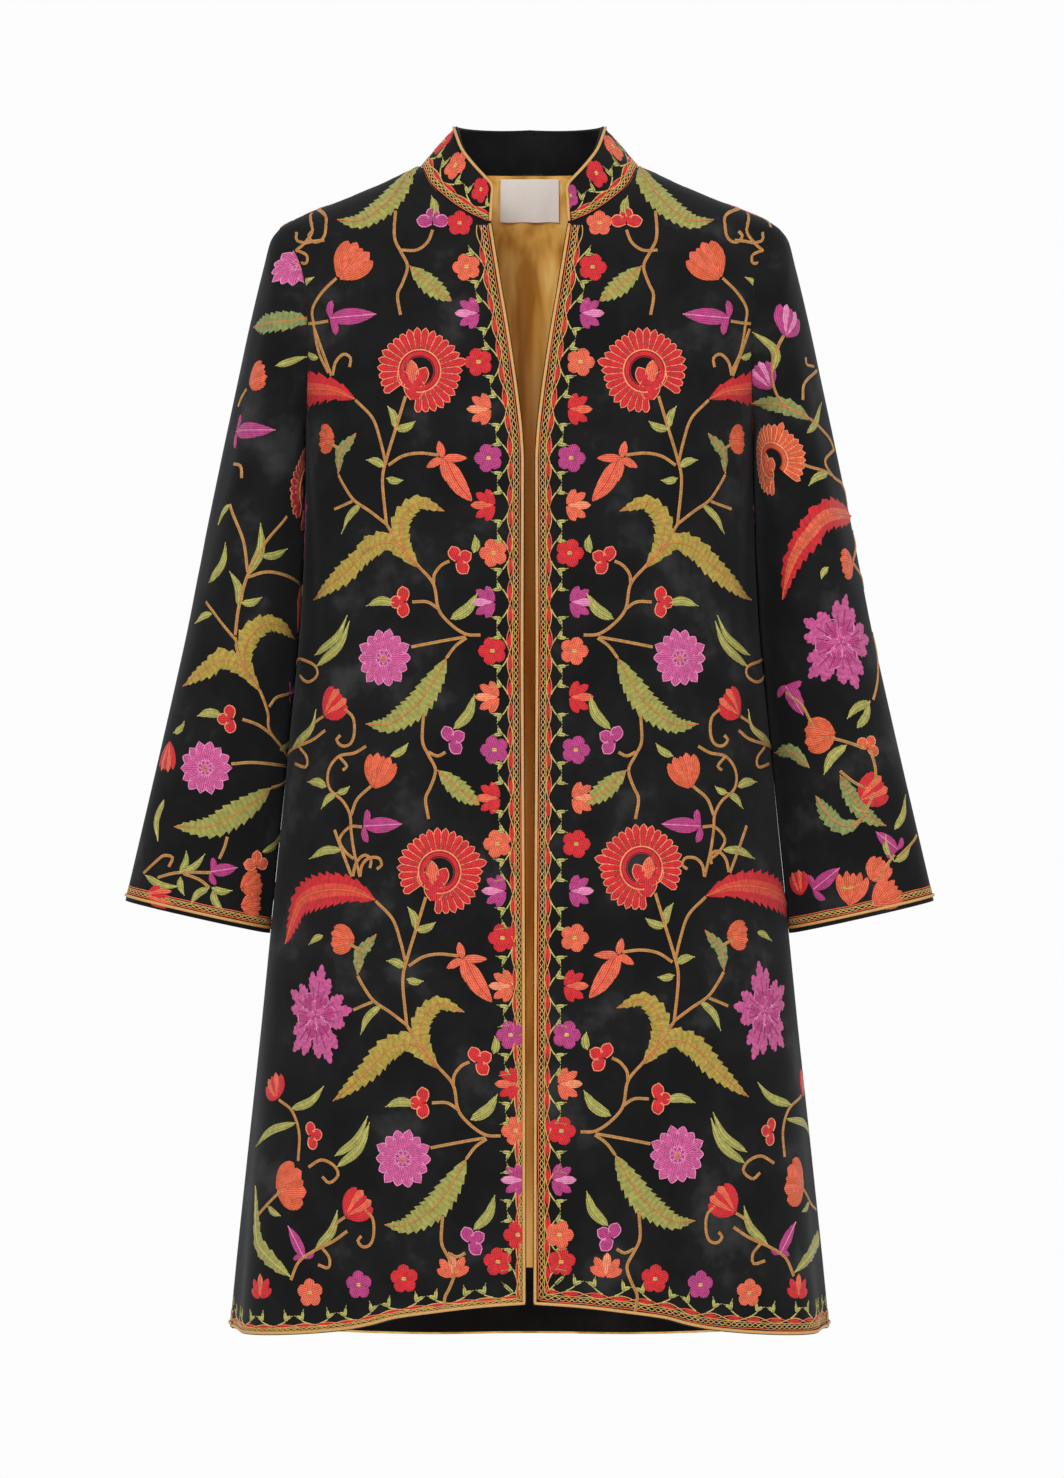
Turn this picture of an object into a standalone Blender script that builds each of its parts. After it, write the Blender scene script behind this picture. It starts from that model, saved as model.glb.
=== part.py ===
"""A thigh-length velvet coat with a stand collar, open in front, in the hollow shape of a worn garment.

Metres, +Z up. The coat faces -Y and the wearer's left is +X. The origin is in the middle of the
neck, at the height of the shoulders' inner ends. Heights in the tables count up from the side hem.
"""

import math

import bmesh
import bpy
import numpy as np

# Heights above the side hem.
NECK_POINT_HEIGHT = 0.970
UNDERARM_HEIGHT = 0.743
SHOULDER_TIP_HEIGHT = 0.918
BACK_NECK_HEIGHT = 0.9675
TOP_ROW_HEIGHT = 0.961

# The shoulder line, from the neck point out over the sleeve head.
# height, half_width
SHOULDER_LINE = (
    (0.9150, 0.2180),
    (0.9220, 0.2030),
    (0.9290, 0.1880),
    (0.9420, 0.1548),
    (0.9550, 0.1238),
    (0.9620, 0.1093),
    (0.9700, 0.0905),
    (0.9850, 0.0600),
)
SHOULDER_ROUNDING = 0.006

# Thicknesses and clearances.
PANEL_WALL = 0.002
COLLAR_WALL = 0.0015
FACING_WALL = 0.0012
LINING_WALL = 0.001
LABEL_WALL = 0.0008
SEAM_GAP = 0.0003
SEAM_OFFSET = 0.00035
SKIN_GAP = 0.0006

# How many cells each panel has.
FRONT_COLUMNS = 13
BACK_COLUMNS = 26
SKIRT_ROWS = 12
ARMHOLE_ROWS = 10
SHOULDER_ROWS = 6
SLEEVE_COLUMNS = 2 * ARMHOLE_ROWS
SLEEVE_ROWS = 15
COLLAR_ROWS = 3

# Level sections through the body.
# height, half_width, front_depth, back_depth, squareness
BODY_SECTIONS = (
    (-0.03, 0.2500, 0.1500, 0.142, 2.30),
    (0.000, 0.2473, 0.1480, 0.140, 2.30),
    (0.150, 0.2330, 0.1410, 0.133, 2.32),
    (0.330, 0.2150, 0.1320, 0.122, 2.35),
    (0.500, 0.1985, 0.1220, 0.112, 2.40),
    (0.610, 0.1885, 0.1160, 0.106, 2.50),
    (0.700, 0.1852, 0.1120, 0.104, 2.60),
    (0.743, 0.1855, 0.1100, 0.104, 2.70),
    (0.800, 0.1940, 0.1040, 0.104, 2.80),
    (0.850, 0.2035, 0.0940, 0.100, 2.70),
    (0.890, 0.2085, 0.0800, 0.091, 2.50),
    (0.920, 0.2115, 0.0650, 0.078, 2.30),
    (0.945, 0.2140, 0.0520, 0.064, 2.20),
    (0.970, 0.2160, 0.0400, 0.050, 2.10),
)

# Half of the gap between the two front edges.
# height, half_gap
FRONT_EDGES = (
    (0.000, 0.0026),
    (0.270, 0.0028),
    (0.450, 0.0036),
    (0.570, 0.0042),
    (0.719, 0.0038),
    (0.743, 0.0050),
    (0.774, 0.0084),
    (0.800, 0.0120),
    (0.837, 0.0177),
    (0.862, 0.0220),
    (0.9165, 0.0307),
)

# The neckline from the front edge to the neck point.
# height, x
NECKLINE = (
    (0.9165, 0.0307),
    (0.9255, 0.0500),
    (0.9370, 0.0670),
    (0.9510, 0.0813),
    (0.9700, 0.0905),
)

# The hem rises to the front edges and dips behind.
# distance from the middle, front_height, back_height
HEM = (
    (0.000, 0.0380, -0.0125),
    (0.040, 0.0355, -0.0125),
    (0.080, 0.0308, -0.0122),
    (0.110, 0.0260, -0.0115),
    (0.130, 0.0200, -0.0107),
    (0.150, 0.0155, -0.0096),
    (0.184, 0.0110, -0.0060),
    (0.250, 0.0060, 0.0060),
)

# Loose flutes that run into the hem.
FLUTE_DEPTH = 0.004
FLUTE_TOP_HEIGHT = 0.33
FLUTE_WAVES = 9

# How far the armhole reaches forwards and back from the side.
ARMHOLE_FRONT_REACH = 0.0575
ARMHOLE_BACK_REACH = 0.0640

# Rings down the sleeve: its outermost point, how far its innermost point is from the body's side,
# half its depth, and where its middle lies along Y.
# outer_x, outer_height, inner_gap, inner_height, half_depth, middle_y
SLEEVE_RINGS = (
    (0.2071, 0.918, 0.0000, 0.743, 0.0605, 0.003),
    (0.2143, 0.909, 0.0008, 0.740, 0.0635, 0.004),
    (0.2212, 0.884, 0.0012, 0.733, 0.0670, 0.006),
    (0.2318, 0.840, 0.0012, 0.720, 0.0705, 0.009),
    (0.2436, 0.785, 0.0012, 0.697, 0.0730, 0.012),
    (0.2570, 0.722, 0.0012, 0.665, 0.0735, 0.013),
    (0.2708, 0.655, 0.0012, 0.620, 0.0700, 0.012),
    (0.2829, 0.592, 0.0012, 0.565, 0.0640, 0.009),
    (0.2986, 0.520, 0.0012, 0.498, 0.0560, 0.004),
    (0.3160, 0.443, 0.0012, 0.418, 0.0480, -0.003),
    (0.3349, 0.361, 0.0012, 0.334, 0.0410, -0.008),
)
SLEEVE_SQUARENESS = 2.2
SLEEVE_BLEND_RINGS = 1.6
SLEEVE_ROW_CROWDING = 1.15

# Stand collar.
COLLAR_RISE = 0.0325
COLLAR_FRONT_DROP = 0.002
COLLAR_BACK_RISE = 0.0045
COLLAR_NARROWING = 0.327
COLLAR_SHALLOWING = 0.17
COLLAR_FADE = 0.045
COLLAR_CORNER = 0.02

# Satin lining of the back, seen through the neck, with its soft folds.
LINING_FOLDS = 6
LINING_FOLD_DEPTH = 0.006
LINING_FOLD_TOP_HEIGHT = 0.925
LINING_FOLD_FADE = 0.12
LINING_INSET = 0.003
NECK_INSET = 0.0015
HEM_FACING_SHARE = 0.075
HEM_INSET = 0.002

# Bare label under the back of the collar.
LABEL_WIDTH = 0.050
LABEL_TOP_DROP = 0.002
LABEL_DROP = 0.034
LABEL_COLUMNS = 6
LABEL_ROWS = 3

# Flat couched cord along the edges.
CORD_WIDTH = 0.0024
CORD_TOP_SHARE = 0.6
CORD_HEIGHT = 0.0012
FRONT_CORD_INSET = 0.0017
HEM_CORD_INSET = 0.0045
COLLAR_CORD_INSET = 0.0024
CUFF_CORD_INSET = 0.0045
CORD_NECK_GAP = 0.0015

SIDE = math.pi / 2
BACK_MIDDLE = math.pi
NORMAL_STEP = 0.002
SHARP_ANGLE = math.radians(40)

# name: colour, roughness
FINISHES = {
    "black_velvet": ((0.006, 0.006, 0.007), 0.85),
    "black_facing": ((0.008, 0.008, 0.009), 0.70),
    "gold_satin": ((0.45, 0.22, 0.03), 0.35),
    "cream_label": ((0.75, 0.72, 0.65), 0.50),
    "gold_cord": ((0.42, 0.24, 0.06), 0.60),
}


def tangents(places, values):
    """Slopes of the curve through a table's rows that never overshoots them."""
    steps = np.diff(places)
    slopes = np.diff(values) / steps
    found = np.zeros_like(values)
    found[0] = slopes[0]
    found[-1] = slopes[-1]
    for row in range(1, len(places) - 1):
        before, after = slopes[row - 1], slopes[row]
        if before * after > 0:
            first = 2 * steps[row] + steps[row - 1]
            second = steps[row] + 2 * steps[row - 1]
            found[row] = (first + second) / (first / before + second / after)
    return found


def smooth_table(rows):
    """A function that reads every column of a table, smoothly, at any place in its first column."""
    table = np.array(rows, dtype=float)
    places = table[:, 0]
    columns = table[:, 1:].T
    slopes = [tangents(places, column) for column in columns]

    def read(place):
        row = int(np.clip(np.searchsorted(places, place) - 1, 0, len(places) - 2))
        step = places[row + 1] - places[row]
        share = (place - places[row]) / step
        inside = min(max(share, 0.0), 1.0)
        beyond = (share - inside) * step
        found = []
        for column, slope in zip(columns, slopes):
            start, end = column[row], column[row + 1]
            leave, arrive = slope[row] * step, slope[row + 1] * step
            curve = (2 * inside**3 - 3 * inside**2 + 1) * start
            curve += (inside**3 - 2 * inside**2 + inside) * leave
            curve += (3 * inside**2 - 2 * inside**3) * end
            curve += (inside**3 - inside**2) * arrive
            edge_slope = slope[row] if share < 0 else slope[row + 1]
            found.append(curve + edge_slope * beyond)
        return found

    return read


read_section = smooth_table(BODY_SECTIONS)
read_shoulder = smooth_table(SHOULDER_LINE)
read_front_edge = smooth_table(FRONT_EDGES)
read_neckline = smooth_table(NECKLINE)
read_hem = smooth_table(HEM)
read_sleeve = smooth_table([(ring, *row) for ring, row in enumerate(SLEEVE_RINGS)])


def unit(vector):
    return vector / np.linalg.norm(vector)


def ease(share):
    """A smooth step from 0 to 1."""
    share = min(max(share, 0.0), 1.0)
    return share * share * (3 - 2 * share)


def level(height):
    """The Z of a height above the side hem."""
    return height - NECK_POINT_HEIGHT


def soft_smaller(first, second):
    """The smaller of two lengths, rounded where they meet."""
    smaller, larger = min(first, second), max(first, second)
    return smaller - SHOULDER_ROUNDING * math.log1p(math.exp((smaller - larger) / SHOULDER_ROUNDING))


def body_section(height):
    side, front_depth, back_depth, squareness = read_section(height)
    half_width = soft_smaller(side, read_shoulder(height)[0])
    return half_width, front_depth, back_depth, squareness


def body_point(angle, height):
    """A point of the outer face. Angle 0 is the front middle, and a quarter turn the wearer's left."""
    half_width, front_depth, back_depth, squareness = body_section(height)
    across, along = math.sin(angle), math.cos(angle)
    reach = (abs(across) ** squareness + abs(along) ** squareness) ** (1 / squareness)
    depth = front_depth if along > 0 else back_depth
    fade = ease((FLUTE_TOP_HEIGHT - height) / FLUTE_TOP_HEIGHT)
    flute = FLUTE_DEPTH * fade * math.cos(FLUTE_WAVES * (abs(angle) - BACK_MIDDLE))
    x = half_width * across / reach + flute * across
    y = -depth * along / reach - flute * along
    return np.array((x, y, level(height)))


def body_normal(angle, height):
    """The outward direction there, from how the outer face runs round and up it."""
    around = body_point(angle + NORMAL_STEP, height) - body_point(angle - NORMAL_STEP, height)
    upward = body_point(angle, height + NORMAL_STEP) - body_point(angle, height - NORMAL_STEP)
    return unit(np.cross(around, upward))


def angle_at_x(x, height):
    """The angle of the front point that is this far from the middle."""
    half_width, _, _, squareness = body_section(height)
    across = min(x / half_width, 1.0)
    along = (1 - across**squareness) ** (1 / squareness)
    return math.atan2(across, along)


def angle_at_y(y, height):
    """The angle of the point on the wearer's left that is this far forwards (y < 0) or back."""
    _, front_depth, back_depth, squareness = body_section(height)
    depth = front_depth if y < 0 else back_depth
    along = abs(y) / depth
    across = (1 - along**squareness) ** (1 / squareness)
    front_angle = math.atan2(across, along)
    return front_angle if y < 0 else BACK_MIDDLE - front_angle


def front_edge_angle(height):
    return angle_at_x(read_front_edge(height)[0], height)


def neckline_place(height):
    """The (angle, height) of a point of the front neckline."""
    return np.array((angle_at_x(read_neckline(height)[0], height), height))


def hem_height(angle):
    x = abs(body_point(angle, 0.0)[0])
    front, back = read_hem(x)
    return front if math.cos(angle) > 0 else back


def armhole_place(turn, side):
    """The (angle, height) of a point of the armhole: turn 0 is its top, and side -1 its front half."""
    middle = (SHOULDER_TIP_HEIGHT + UNDERARM_HEIGHT) / 2
    radius = (SHOULDER_TIP_HEIGHT - UNDERARM_HEIGHT) / 2
    reach = ARMHOLE_FRONT_REACH if side < 0 else ARMHOLE_BACK_REACH
    seam = SEAM_GAP / 2
    height = middle + radius * math.cos(turn)
    y = side * (seam + (reach - seam) * math.sin(turn))
    return np.array((angle_at_y(y, height), height))


def side_place(height, side):
    """The (angle, height) of the side seam or the shoulder seam, half a seam gap off it."""
    return np.array((angle_at_y(side * SEAM_GAP / 2, height), height))


def spread(start, end, columns):
    """Places spaced evenly from one (angle, height) to another."""
    return [start + (end - start) * column / columns for column in range(columns + 1)]


def skirt_row(share, middle_angle, side, columns):
    """A row a share of the way up from the hem to the underarm."""
    edge_height = share * UNDERARM_HEIGHT
    side_angle = side_place(edge_height, side)[0]
    row = []
    for angle in np.linspace(middle_angle, side_angle, columns + 1):
        hem = hem_height(angle)
        row.append(np.array((angle, hem + share * (UNDERARM_HEIGHT - hem))))
    return row


def skirt_shares():
    """The hem, the top of the hem facing, then even steps up to the underarm."""
    even = np.linspace(HEM_FACING_SHARE, 1.0, SKIRT_ROWS)
    return [0.0, *even]


def front_places():
    """Rows of (angle, height) on the wearer's left front, from the front edge to the side."""
    rows = []
    for share in skirt_shares():
        rise = share * (UNDERARM_HEIGHT - HEM[0][1]) + HEM[0][1]
        rows.append(skirt_row(share, front_edge_angle(rise), -1, FRONT_COLUMNS))
    neck_start = NECKLINE[0][0]
    for step in range(1, ARMHOLE_ROWS + 1):
        share = step / ARMHOLE_ROWS
        height = UNDERARM_HEIGHT + (neck_start - UNDERARM_HEIGHT) * share
        middle = np.array((front_edge_angle(height), height))
        rows.append(spread(middle, armhole_place(math.pi * (1 - share), -1), FRONT_COLUMNS))
    for step in range(1, SHOULDER_ROWS):
        share = step / SHOULDER_ROWS
        middle = neckline_place(neck_start + (TOP_ROW_HEIGHT - neck_start) * share)
        height = SHOULDER_TIP_HEIGHT + (NECK_POINT_HEIGHT - SHOULDER_TIP_HEIGHT) * share
        rows.append(spread(middle, side_place(height, -1), FRONT_COLUMNS))
    neck_end = side_place(NECK_POINT_HEIGHT, -1)
    heights = np.linspace(TOP_ROW_HEIGHT, NECK_POINT_HEIGHT, FRONT_COLUMNS + 1)[:-1]
    rows.append([*[neckline_place(height) for height in heights], neck_end])
    return rows


def back_neck_height(angle):
    """The back neckline, from the neck point down to the middle."""
    share = ease((angle - SIDE) / (BACK_MIDDLE - SIDE))
    return NECK_POINT_HEIGHT + (BACK_NECK_HEIGHT - NECK_POINT_HEIGHT) * share


def back_places():
    """Rows of (angle, height) on the back, from the wearer's left side round to the right."""
    half = BACK_COLUMNS // 2
    rows = [skirt_row(share, BACK_MIDDLE, 1, half) for share in skirt_shares()]
    for step in range(1, ARMHOLE_ROWS + 1):
        share = step / ARMHOLE_ROWS
        height = UNDERARM_HEIGHT + (SHOULDER_TIP_HEIGHT - UNDERARM_HEIGHT) * share
        middle = np.array((BACK_MIDDLE, height))
        rows.append(spread(middle, armhole_place(math.pi * (1 - share), 1), half))
    for step in range(1, SHOULDER_ROWS):
        share = step / SHOULDER_ROWS
        middle_height = SHOULDER_TIP_HEIGHT + (BACK_NECK_HEIGHT - SHOULDER_TIP_HEIGHT) * share
        middle = np.array((BACK_MIDDLE, middle_height))
        height = SHOULDER_TIP_HEIGHT + (NECK_POINT_HEIGHT - SHOULDER_TIP_HEIGHT) * share
        rows.append(spread(middle, side_place(height, 1), half))
    angles = np.linspace(BACK_MIDDLE, side_place(NECK_POINT_HEIGHT, 1)[0], half + 1)
    rows.append([np.array((angle, back_neck_height(angle))) for angle in angles])
    turn = 2 * BACK_MIDDLE
    return [row[::-1] + [np.array((turn - a, h)) for a, h in row[1:]] for row in rows]


def points_of(places):
    """Outer points and outward normals of rows of (angle, height)."""
    points = np.array([[body_point(*place) for place in row] for row in places])
    normals = np.array([[body_normal(*place) for place in row] for row in places])
    return points, normals


def grid_normals(points, closed):
    """Outward normals of a grid whose rows run round the wearer's left and whose columns run down."""
    if closed:
        across = np.roll(points, -1, axis=1) - np.roll(points, 1, axis=1)
    else:
        across = np.gradient(points, axis=1)
    along = np.gradient(points, axis=0)
    normals = np.cross(along, across)
    return normals / np.linalg.norm(normals, axis=2, keepdims=True)


def mirrored(points):
    """The same points on the other side of the coat."""
    return points * np.array((-1.0, 1.0, 1.0))


def rim_of(rows, columns, closed):
    """Loops of (row, column) round the open edges of a grid."""
    if closed:
        first = [(0, column) for column in range(columns)]
        last = [(rows - 1, column) for column in range(columns)]
        return [first, last]
    top = [(0, column) for column in range(columns)]
    right = [(row, columns - 1) for row in range(1, rows)]
    bottom = [(rows - 1, column) for column in range(columns - 2, -1, -1)]
    left = [(row, 0) for row in range(rows - 2, 0, -1)]
    return [top + right + bottom + left]


def add_object(name, mesh, finish):
    data = bpy.data.meshes.new(name)
    bmesh.ops.triangulate(mesh, faces=mesh.faces, quad_method="FIXED")
    bmesh.ops.recalc_face_normals(mesh, faces=mesh.faces)
    mesh.to_mesh(data)
    mesh.free()
    data.shade_smooth()
    data.set_sharp_from_angle(angle=SHARP_ANGLE)
    made = bpy.data.objects.new(name, data)
    data.materials.append(make_finish(f"{name}_{finish}", *FINISHES[finish]))
    bpy.context.scene.collection.objects.link(made)
    return made


def make_finish(name, colour, roughness):
    finish = bpy.data.materials.new(name)
    finish.use_nodes = True
    shader = finish.node_tree.nodes["Principled BSDF"]
    shader.inputs["Base Color"].default_value = (*colour, 1.0)
    shader.inputs["Roughness"].default_value = roughness
    shader.inputs["Metallic"].default_value = 0.0
    return finish


def add_wall(name, outer, inner, finish, closed=False, halves=1):
    """A cloth wall between two grids of points, closed round its edges.

    The cells of a piece with two halves are split the other way in its second half.
    """
    mesh = bmesh.new()
    rows, columns = outer.shape[:2]
    faces = [[[mesh.verts.new(point) for point in row] for row in grid] for grid in (outer, inner)]
    spans = columns if closed else columns - 1
    for row in range(rows - 1):
        for column in range(spans):
            following = (column + 1) % columns
            corners = ((row, column), (row, following), (row + 1, following), (row + 1, column))
            if halves == 2 and column >= spans / 2:
                corners = corners[1:] + corners[:1]
            mesh.faces.new([faces[0][r][c] for r, c in corners])
            mesh.faces.new([faces[1][r][c] for r, c in (corners[0], *corners[:0:-1])])
    for loop in rim_of(rows, columns, closed):
        for here, there in zip(loop, loop[1:] + loop[:1]):
            corners = ((0, here), (0, there), (1, there), (1, here))
            mesh.faces.new([faces[side][r][c] for side, (r, c) in corners])
    return add_object(name, mesh, finish)


def cord_sections(edge, inward, normals):
    """Four corners at each point of a flat cord: the near edge, then over its top and back."""
    half = CORD_WIDTH / 2
    top = half * CORD_TOP_SHARE
    low, high = SEAM_GAP, SEAM_GAP + CORD_HEIGHT
    corners = ((-half, low), (-top, high), (top, high), (half, low))
    return np.array(
        [
            [point + side * reach + normal * lift for reach, lift in corners]
            for point, side, normal in zip(edge, inward, normals)
        ]
    )


def add_cord(name, sections, closed=False):
    """A flat cord through four-cornered sections."""
    mesh = bmesh.new()
    rings = [[mesh.verts.new(point) for point in section] for section in sections]
    following = rings[1:] + rings[:1] if closed else rings[1:]
    for ring, after in zip(rings, following):
        for corner in range(4):
            beside = (corner + 1) % 4
            mesh.faces.new((ring[corner], ring[beside], after[beside], after[corner]))
    if not closed:
        mesh.faces.new(rings[0])
        mesh.faces.new(rings[-1][::-1])
    return add_object(name, mesh, "gold_cord")


def inset_line(edge, towards, distance):
    """Points a distance in from an edge, towards the next line of points, and that direction."""
    inward = towards - edge
    inward = inward / np.linalg.norm(inward, axis=1, keepdims=True)
    return edge + inward * distance, inward


def seam_normals(own, other):
    """The outward direction that two walls share along their seam."""
    shared = own + other
    return shared / np.linalg.norm(shared, axis=-1, keepdims=True)


def sleeve_turns():
    """Angles round a sleeve ring, from its top over the front."""
    return [2 * math.pi * column / SLEEVE_COLUMNS for column in range(SLEEVE_COLUMNS)]


def armhole_point(turn):
    """The (point, normal) of the armhole at a turn from its top over the front."""
    if turn <= math.pi:
        angle, height = armhole_place(turn, -1)
    else:
        angle, height = armhole_place(2 * math.pi - turn, 1)
    return body_point(angle, height), body_normal(angle, height)


def sleeve_ring_point(ring, turn):
    outer_x, outer_height, inner_gap, inner_height, half_depth, middle_y = read_sleeve(ring)
    inner_x = body_section(inner_height)[0] + inner_gap
    outer = np.array((outer_x, middle_y, level(outer_height)))
    inner = np.array((inner_x, middle_y, level(inner_height)))
    along, across = math.cos(turn), math.sin(turn)
    reach = abs(along) ** SLEEVE_SQUARENESS + abs(across) ** SLEEVE_SQUARENESS
    reach = reach ** (1 / SLEEVE_SQUARENESS)
    forward = np.array((0.0, -half_depth, 0.0))
    return (outer + inner) / 2 + (outer - inner) / 2 * along / reach + forward * across / reach


def sleeve_grid():
    """Outer points of the wearer's left sleeve, from the armhole to the cuff."""
    last = len(SLEEVE_RINGS) - 1
    shares = [row / SLEEVE_ROWS for row in range(SLEEVE_ROWS + 1)]
    rings = [last * share**SLEEVE_ROW_CROWDING for share in shares]
    grid = []
    for ring in rings:
        fade = ease(1 - ring / SLEEVE_BLEND_RINGS)
        row = []
        for turn in sleeve_turns():
            armhole, _ = armhole_point(turn)
            shift = armhole - sleeve_ring_point(0, turn)
            row.append(sleeve_ring_point(ring, turn) + shift * fade)
        grid.append(row)
    return np.array(grid)


def sleeve_walls():
    """Outer and inner points of the left sleeve, and the normals that the armhole seam shares."""
    outer = sleeve_grid()
    normals = -grid_normals(outer, closed=True)
    body = np.array([armhole_point(turn)[1] for turn in sleeve_turns()])
    shared = seam_normals(normals[0], body)
    tangent = np.roll(outer[0], -1, axis=0) - np.roll(outer[0], 1, axis=0)
    aside = np.cross(tangent, shared)
    aside = aside / np.linalg.norm(aside, axis=1, keepdims=True)
    aside *= np.sign((aside * (outer[1] - outer[0])).sum(axis=1, keepdims=True))
    outer[0] = outer[0] + aside * SEAM_OFFSET
    normals[0] = shared
    return outer, outer - normals * PANEL_WALL, normals


def neckline_places(front, back):
    """(angle, height) along the left half of the neckline, from the front edge to the back middle."""
    first = SKIRT_ROWS + ARMHOLE_ROWS
    along_front = [row[0] for row in front[first:-1]] + front[-1][:-1]
    neck_point = np.array((SIDE, NECK_POINT_HEIGHT))
    return along_front + [neck_point] + back[-1][1 : BACK_COLUMNS // 2 + 1]


def run_shares(points):
    """How far along a line of points each one is, as a share of its length."""
    steps = np.linalg.norm(np.diff(points, axis=0), axis=1)
    run = np.concatenate(([0.0], np.cumsum(steps)))
    return run / run[-1]


def collar_half(places):
    """Outer points of the collar's left half, base row first, over the neckline's places."""
    base = np.array([body_point(*place) for place in places])
    shares = run_shares(base)
    fade = 1 - np.exp(-shares / COLLAR_FADE)
    top = base.copy()
    top[:, 0] *= 1 - COLLAR_NARROWING * fade
    top[:, 1] *= 1 - COLLAR_SHALLOWING
    top[:, 2] += COLLAR_RISE - COLLAR_FRONT_DROP * np.exp(-shares / COLLAR_CORNER)
    top[:, 2] += COLLAR_BACK_RISE * shares**2
    return np.array([base + (top - base) * row / COLLAR_ROWS for row in range(COLLAR_ROWS + 1)])


def both_halves(left):
    """The right half's points or normals, then the left's, from a left half that ends at the middle."""
    return np.concatenate((mirrored(left), left[..., -2::-1, :]), axis=-2)


def collar_walls(places):
    """The collar's outer points from its right front end round to its left, and its normals."""
    outer = both_halves(collar_half(places))
    normals = grid_normals(outer, closed=False)
    body = both_halves(np.array([body_normal(*place) for place in places]))
    shared = seam_normals(normals[0], body)
    up = outer[1] - outer[0]
    up = up / np.linalg.norm(up, axis=1, keepdims=True)
    outer[0] = outer[0] + up * SEAM_OFFSET
    normals[0] = shared
    return outer, normals


def front_walls(places, armhole, neckline):
    """Outer points of the left front, and its normals with those that its seams share."""
    points, normals = points_of(places)
    middle = SLEEVE_COLUMNS // 2
    for step in range(ARMHOLE_ROWS + 1):
        normals[SKIRT_ROWS + step, -1] = armhole[middle - step]
    first = SKIRT_ROWS + ARMHOLE_ROWS
    normals[first:-1, 0] = neckline[:SHOULDER_ROWS]
    normals[-1] = neckline[SHOULDER_ROWS : SHOULDER_ROWS + FRONT_COLUMNS + 1]
    return points, normals


def back_walls(places, armhole, neckline):
    """Outer points of the back from its left side to its right, and its normals."""
    points, normals = points_of(places)
    middle = SLEEVE_COLUMNS // 2
    for step in range(ARMHOLE_ROWS + 1):
        shared = armhole[(middle + step) % SLEEVE_COLUMNS]
        normals[SKIRT_ROWS + step, 0] = shared
        normals[SKIRT_ROWS + step, -1] = mirrored(shared)
    half = neckline[SHOULDER_ROWS + FRONT_COLUMNS :]
    normals[-1] = np.concatenate((half, mirrored(half[-2::-1])))
    return points, normals


def moved_in(points, towards, distance):
    """Points moved a distance towards the next line of points."""
    step = towards - points
    return points + step / np.linalg.norm(step, axis=-1, keepdims=True) * distance


def sides_inset(grid, distance):
    """A grid with its first and last columns moved in."""
    grid = grid.copy()
    grid[:, 0] = moved_in(grid[:, 0], grid[:, 1], distance)
    grid[:, -1] = moved_in(grid[:, -1], grid[:, -2], distance)
    return grid


def lining_folds(places):
    """How far each point of the lining folds inwards, in metres."""
    depths = []
    for row in places:
        shares = np.linspace(0, 1, len(row))
        fades = [ease((LINING_FOLD_TOP_HEIGHT - height) / LINING_FOLD_FADE) for _, height in row]
        waves = 0.5 - 0.5 * np.cos(2 * math.pi * LINING_FOLDS * shares)
        depths.append(LINING_FOLD_DEPTH * np.array(fades) * waves)
    return np.array(depths)[..., None]


def add_back_lining(places):
    """The gold satin inside the back, and the black facing inside its hem."""
    points, normals = points_of(places)
    outside = PANEL_WALL + SKIN_GAP
    facing = sides_inset(points[:2], LINING_INSET)
    facing[0] = moved_in(facing[0], facing[1], HEM_INSET)
    facing[1] = moved_in(facing[1], facing[0], SEAM_GAP / 2)
    inside = outside + FACING_WALL
    under = normals[:2]
    outer = facing - under * outside
    add_wall("back_hem_facing", outer, facing - under * inside, "black_facing", halves=2)
    lining = sides_inset(points[1:], LINING_INSET)
    lining[0] = moved_in(lining[0], lining[1], SEAM_GAP / 2)
    lining[-1] = moved_in(lining[-1], lining[-2], NECK_INSET)
    folds = lining_folds(places[1:])
    outer = lining - normals[1:] * (outside + folds)
    inner = lining - normals[1:] * (outside + folds + LINING_WALL)
    add_wall("back_lining", outer, inner, "gold_satin", halves=2)


def label_places():
    """Rows of (angle, height) behind the bare label, from its foot to its top."""
    top = BACK_NECK_HEIGHT - LABEL_TOP_DROP
    rows = []
    for height in np.linspace(top - LABEL_DROP, top, LABEL_ROWS + 1):
        xs = np.linspace(LABEL_WIDTH / 2, -LABEL_WIDTH / 2, LABEL_COLUMNS + 1)
        angles = [BACK_MIDDLE - math.copysign(angle_at_x(abs(x), height), x) for x in xs]
        rows.append([np.array((angle, height)) for angle in angles])
    return rows


def add_label():
    points, normals = points_of(label_places())
    outside = PANEL_WALL + SKIN_GAP + LINING_WALL + SKIN_GAP
    inner = points - normals * (outside + LABEL_WALL)
    add_wall("neck_label", points - normals * outside, inner, "cream_label", halves=2)


def front_cord(points, normals):
    """Sections of the cord down the front edge from the neckline, and along the hem to the side."""
    first = SKIRT_ROWS + ARMHOLE_ROWS
    edge = points[first::-1, 0]
    edge_line, edge_inward = inset_line(edge, points[first::-1, 1], FRONT_CORD_INSET)
    edge_line[0] = moved_in(edge_line[0], edge_line[1], CORD_NECK_GAP)
    hem_line, hem_inward = inset_line(points[0], points[1], HEM_CORD_INSET)
    corner = edge_line[-1] + hem_line[0] - points[0, 0]
    corner_inward = unit(edge_inward[-1] + hem_inward[0])
    line = np.concatenate((edge_line[:-1], [corner], hem_line[1:]))
    inward = np.concatenate((edge_inward[:-1], [corner_inward], hem_inward[1:]))
    line_normals = np.concatenate((normals[first::-1, 0], normals[0, 1:]))
    return cord_sections(line, inward, line_normals)


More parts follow.
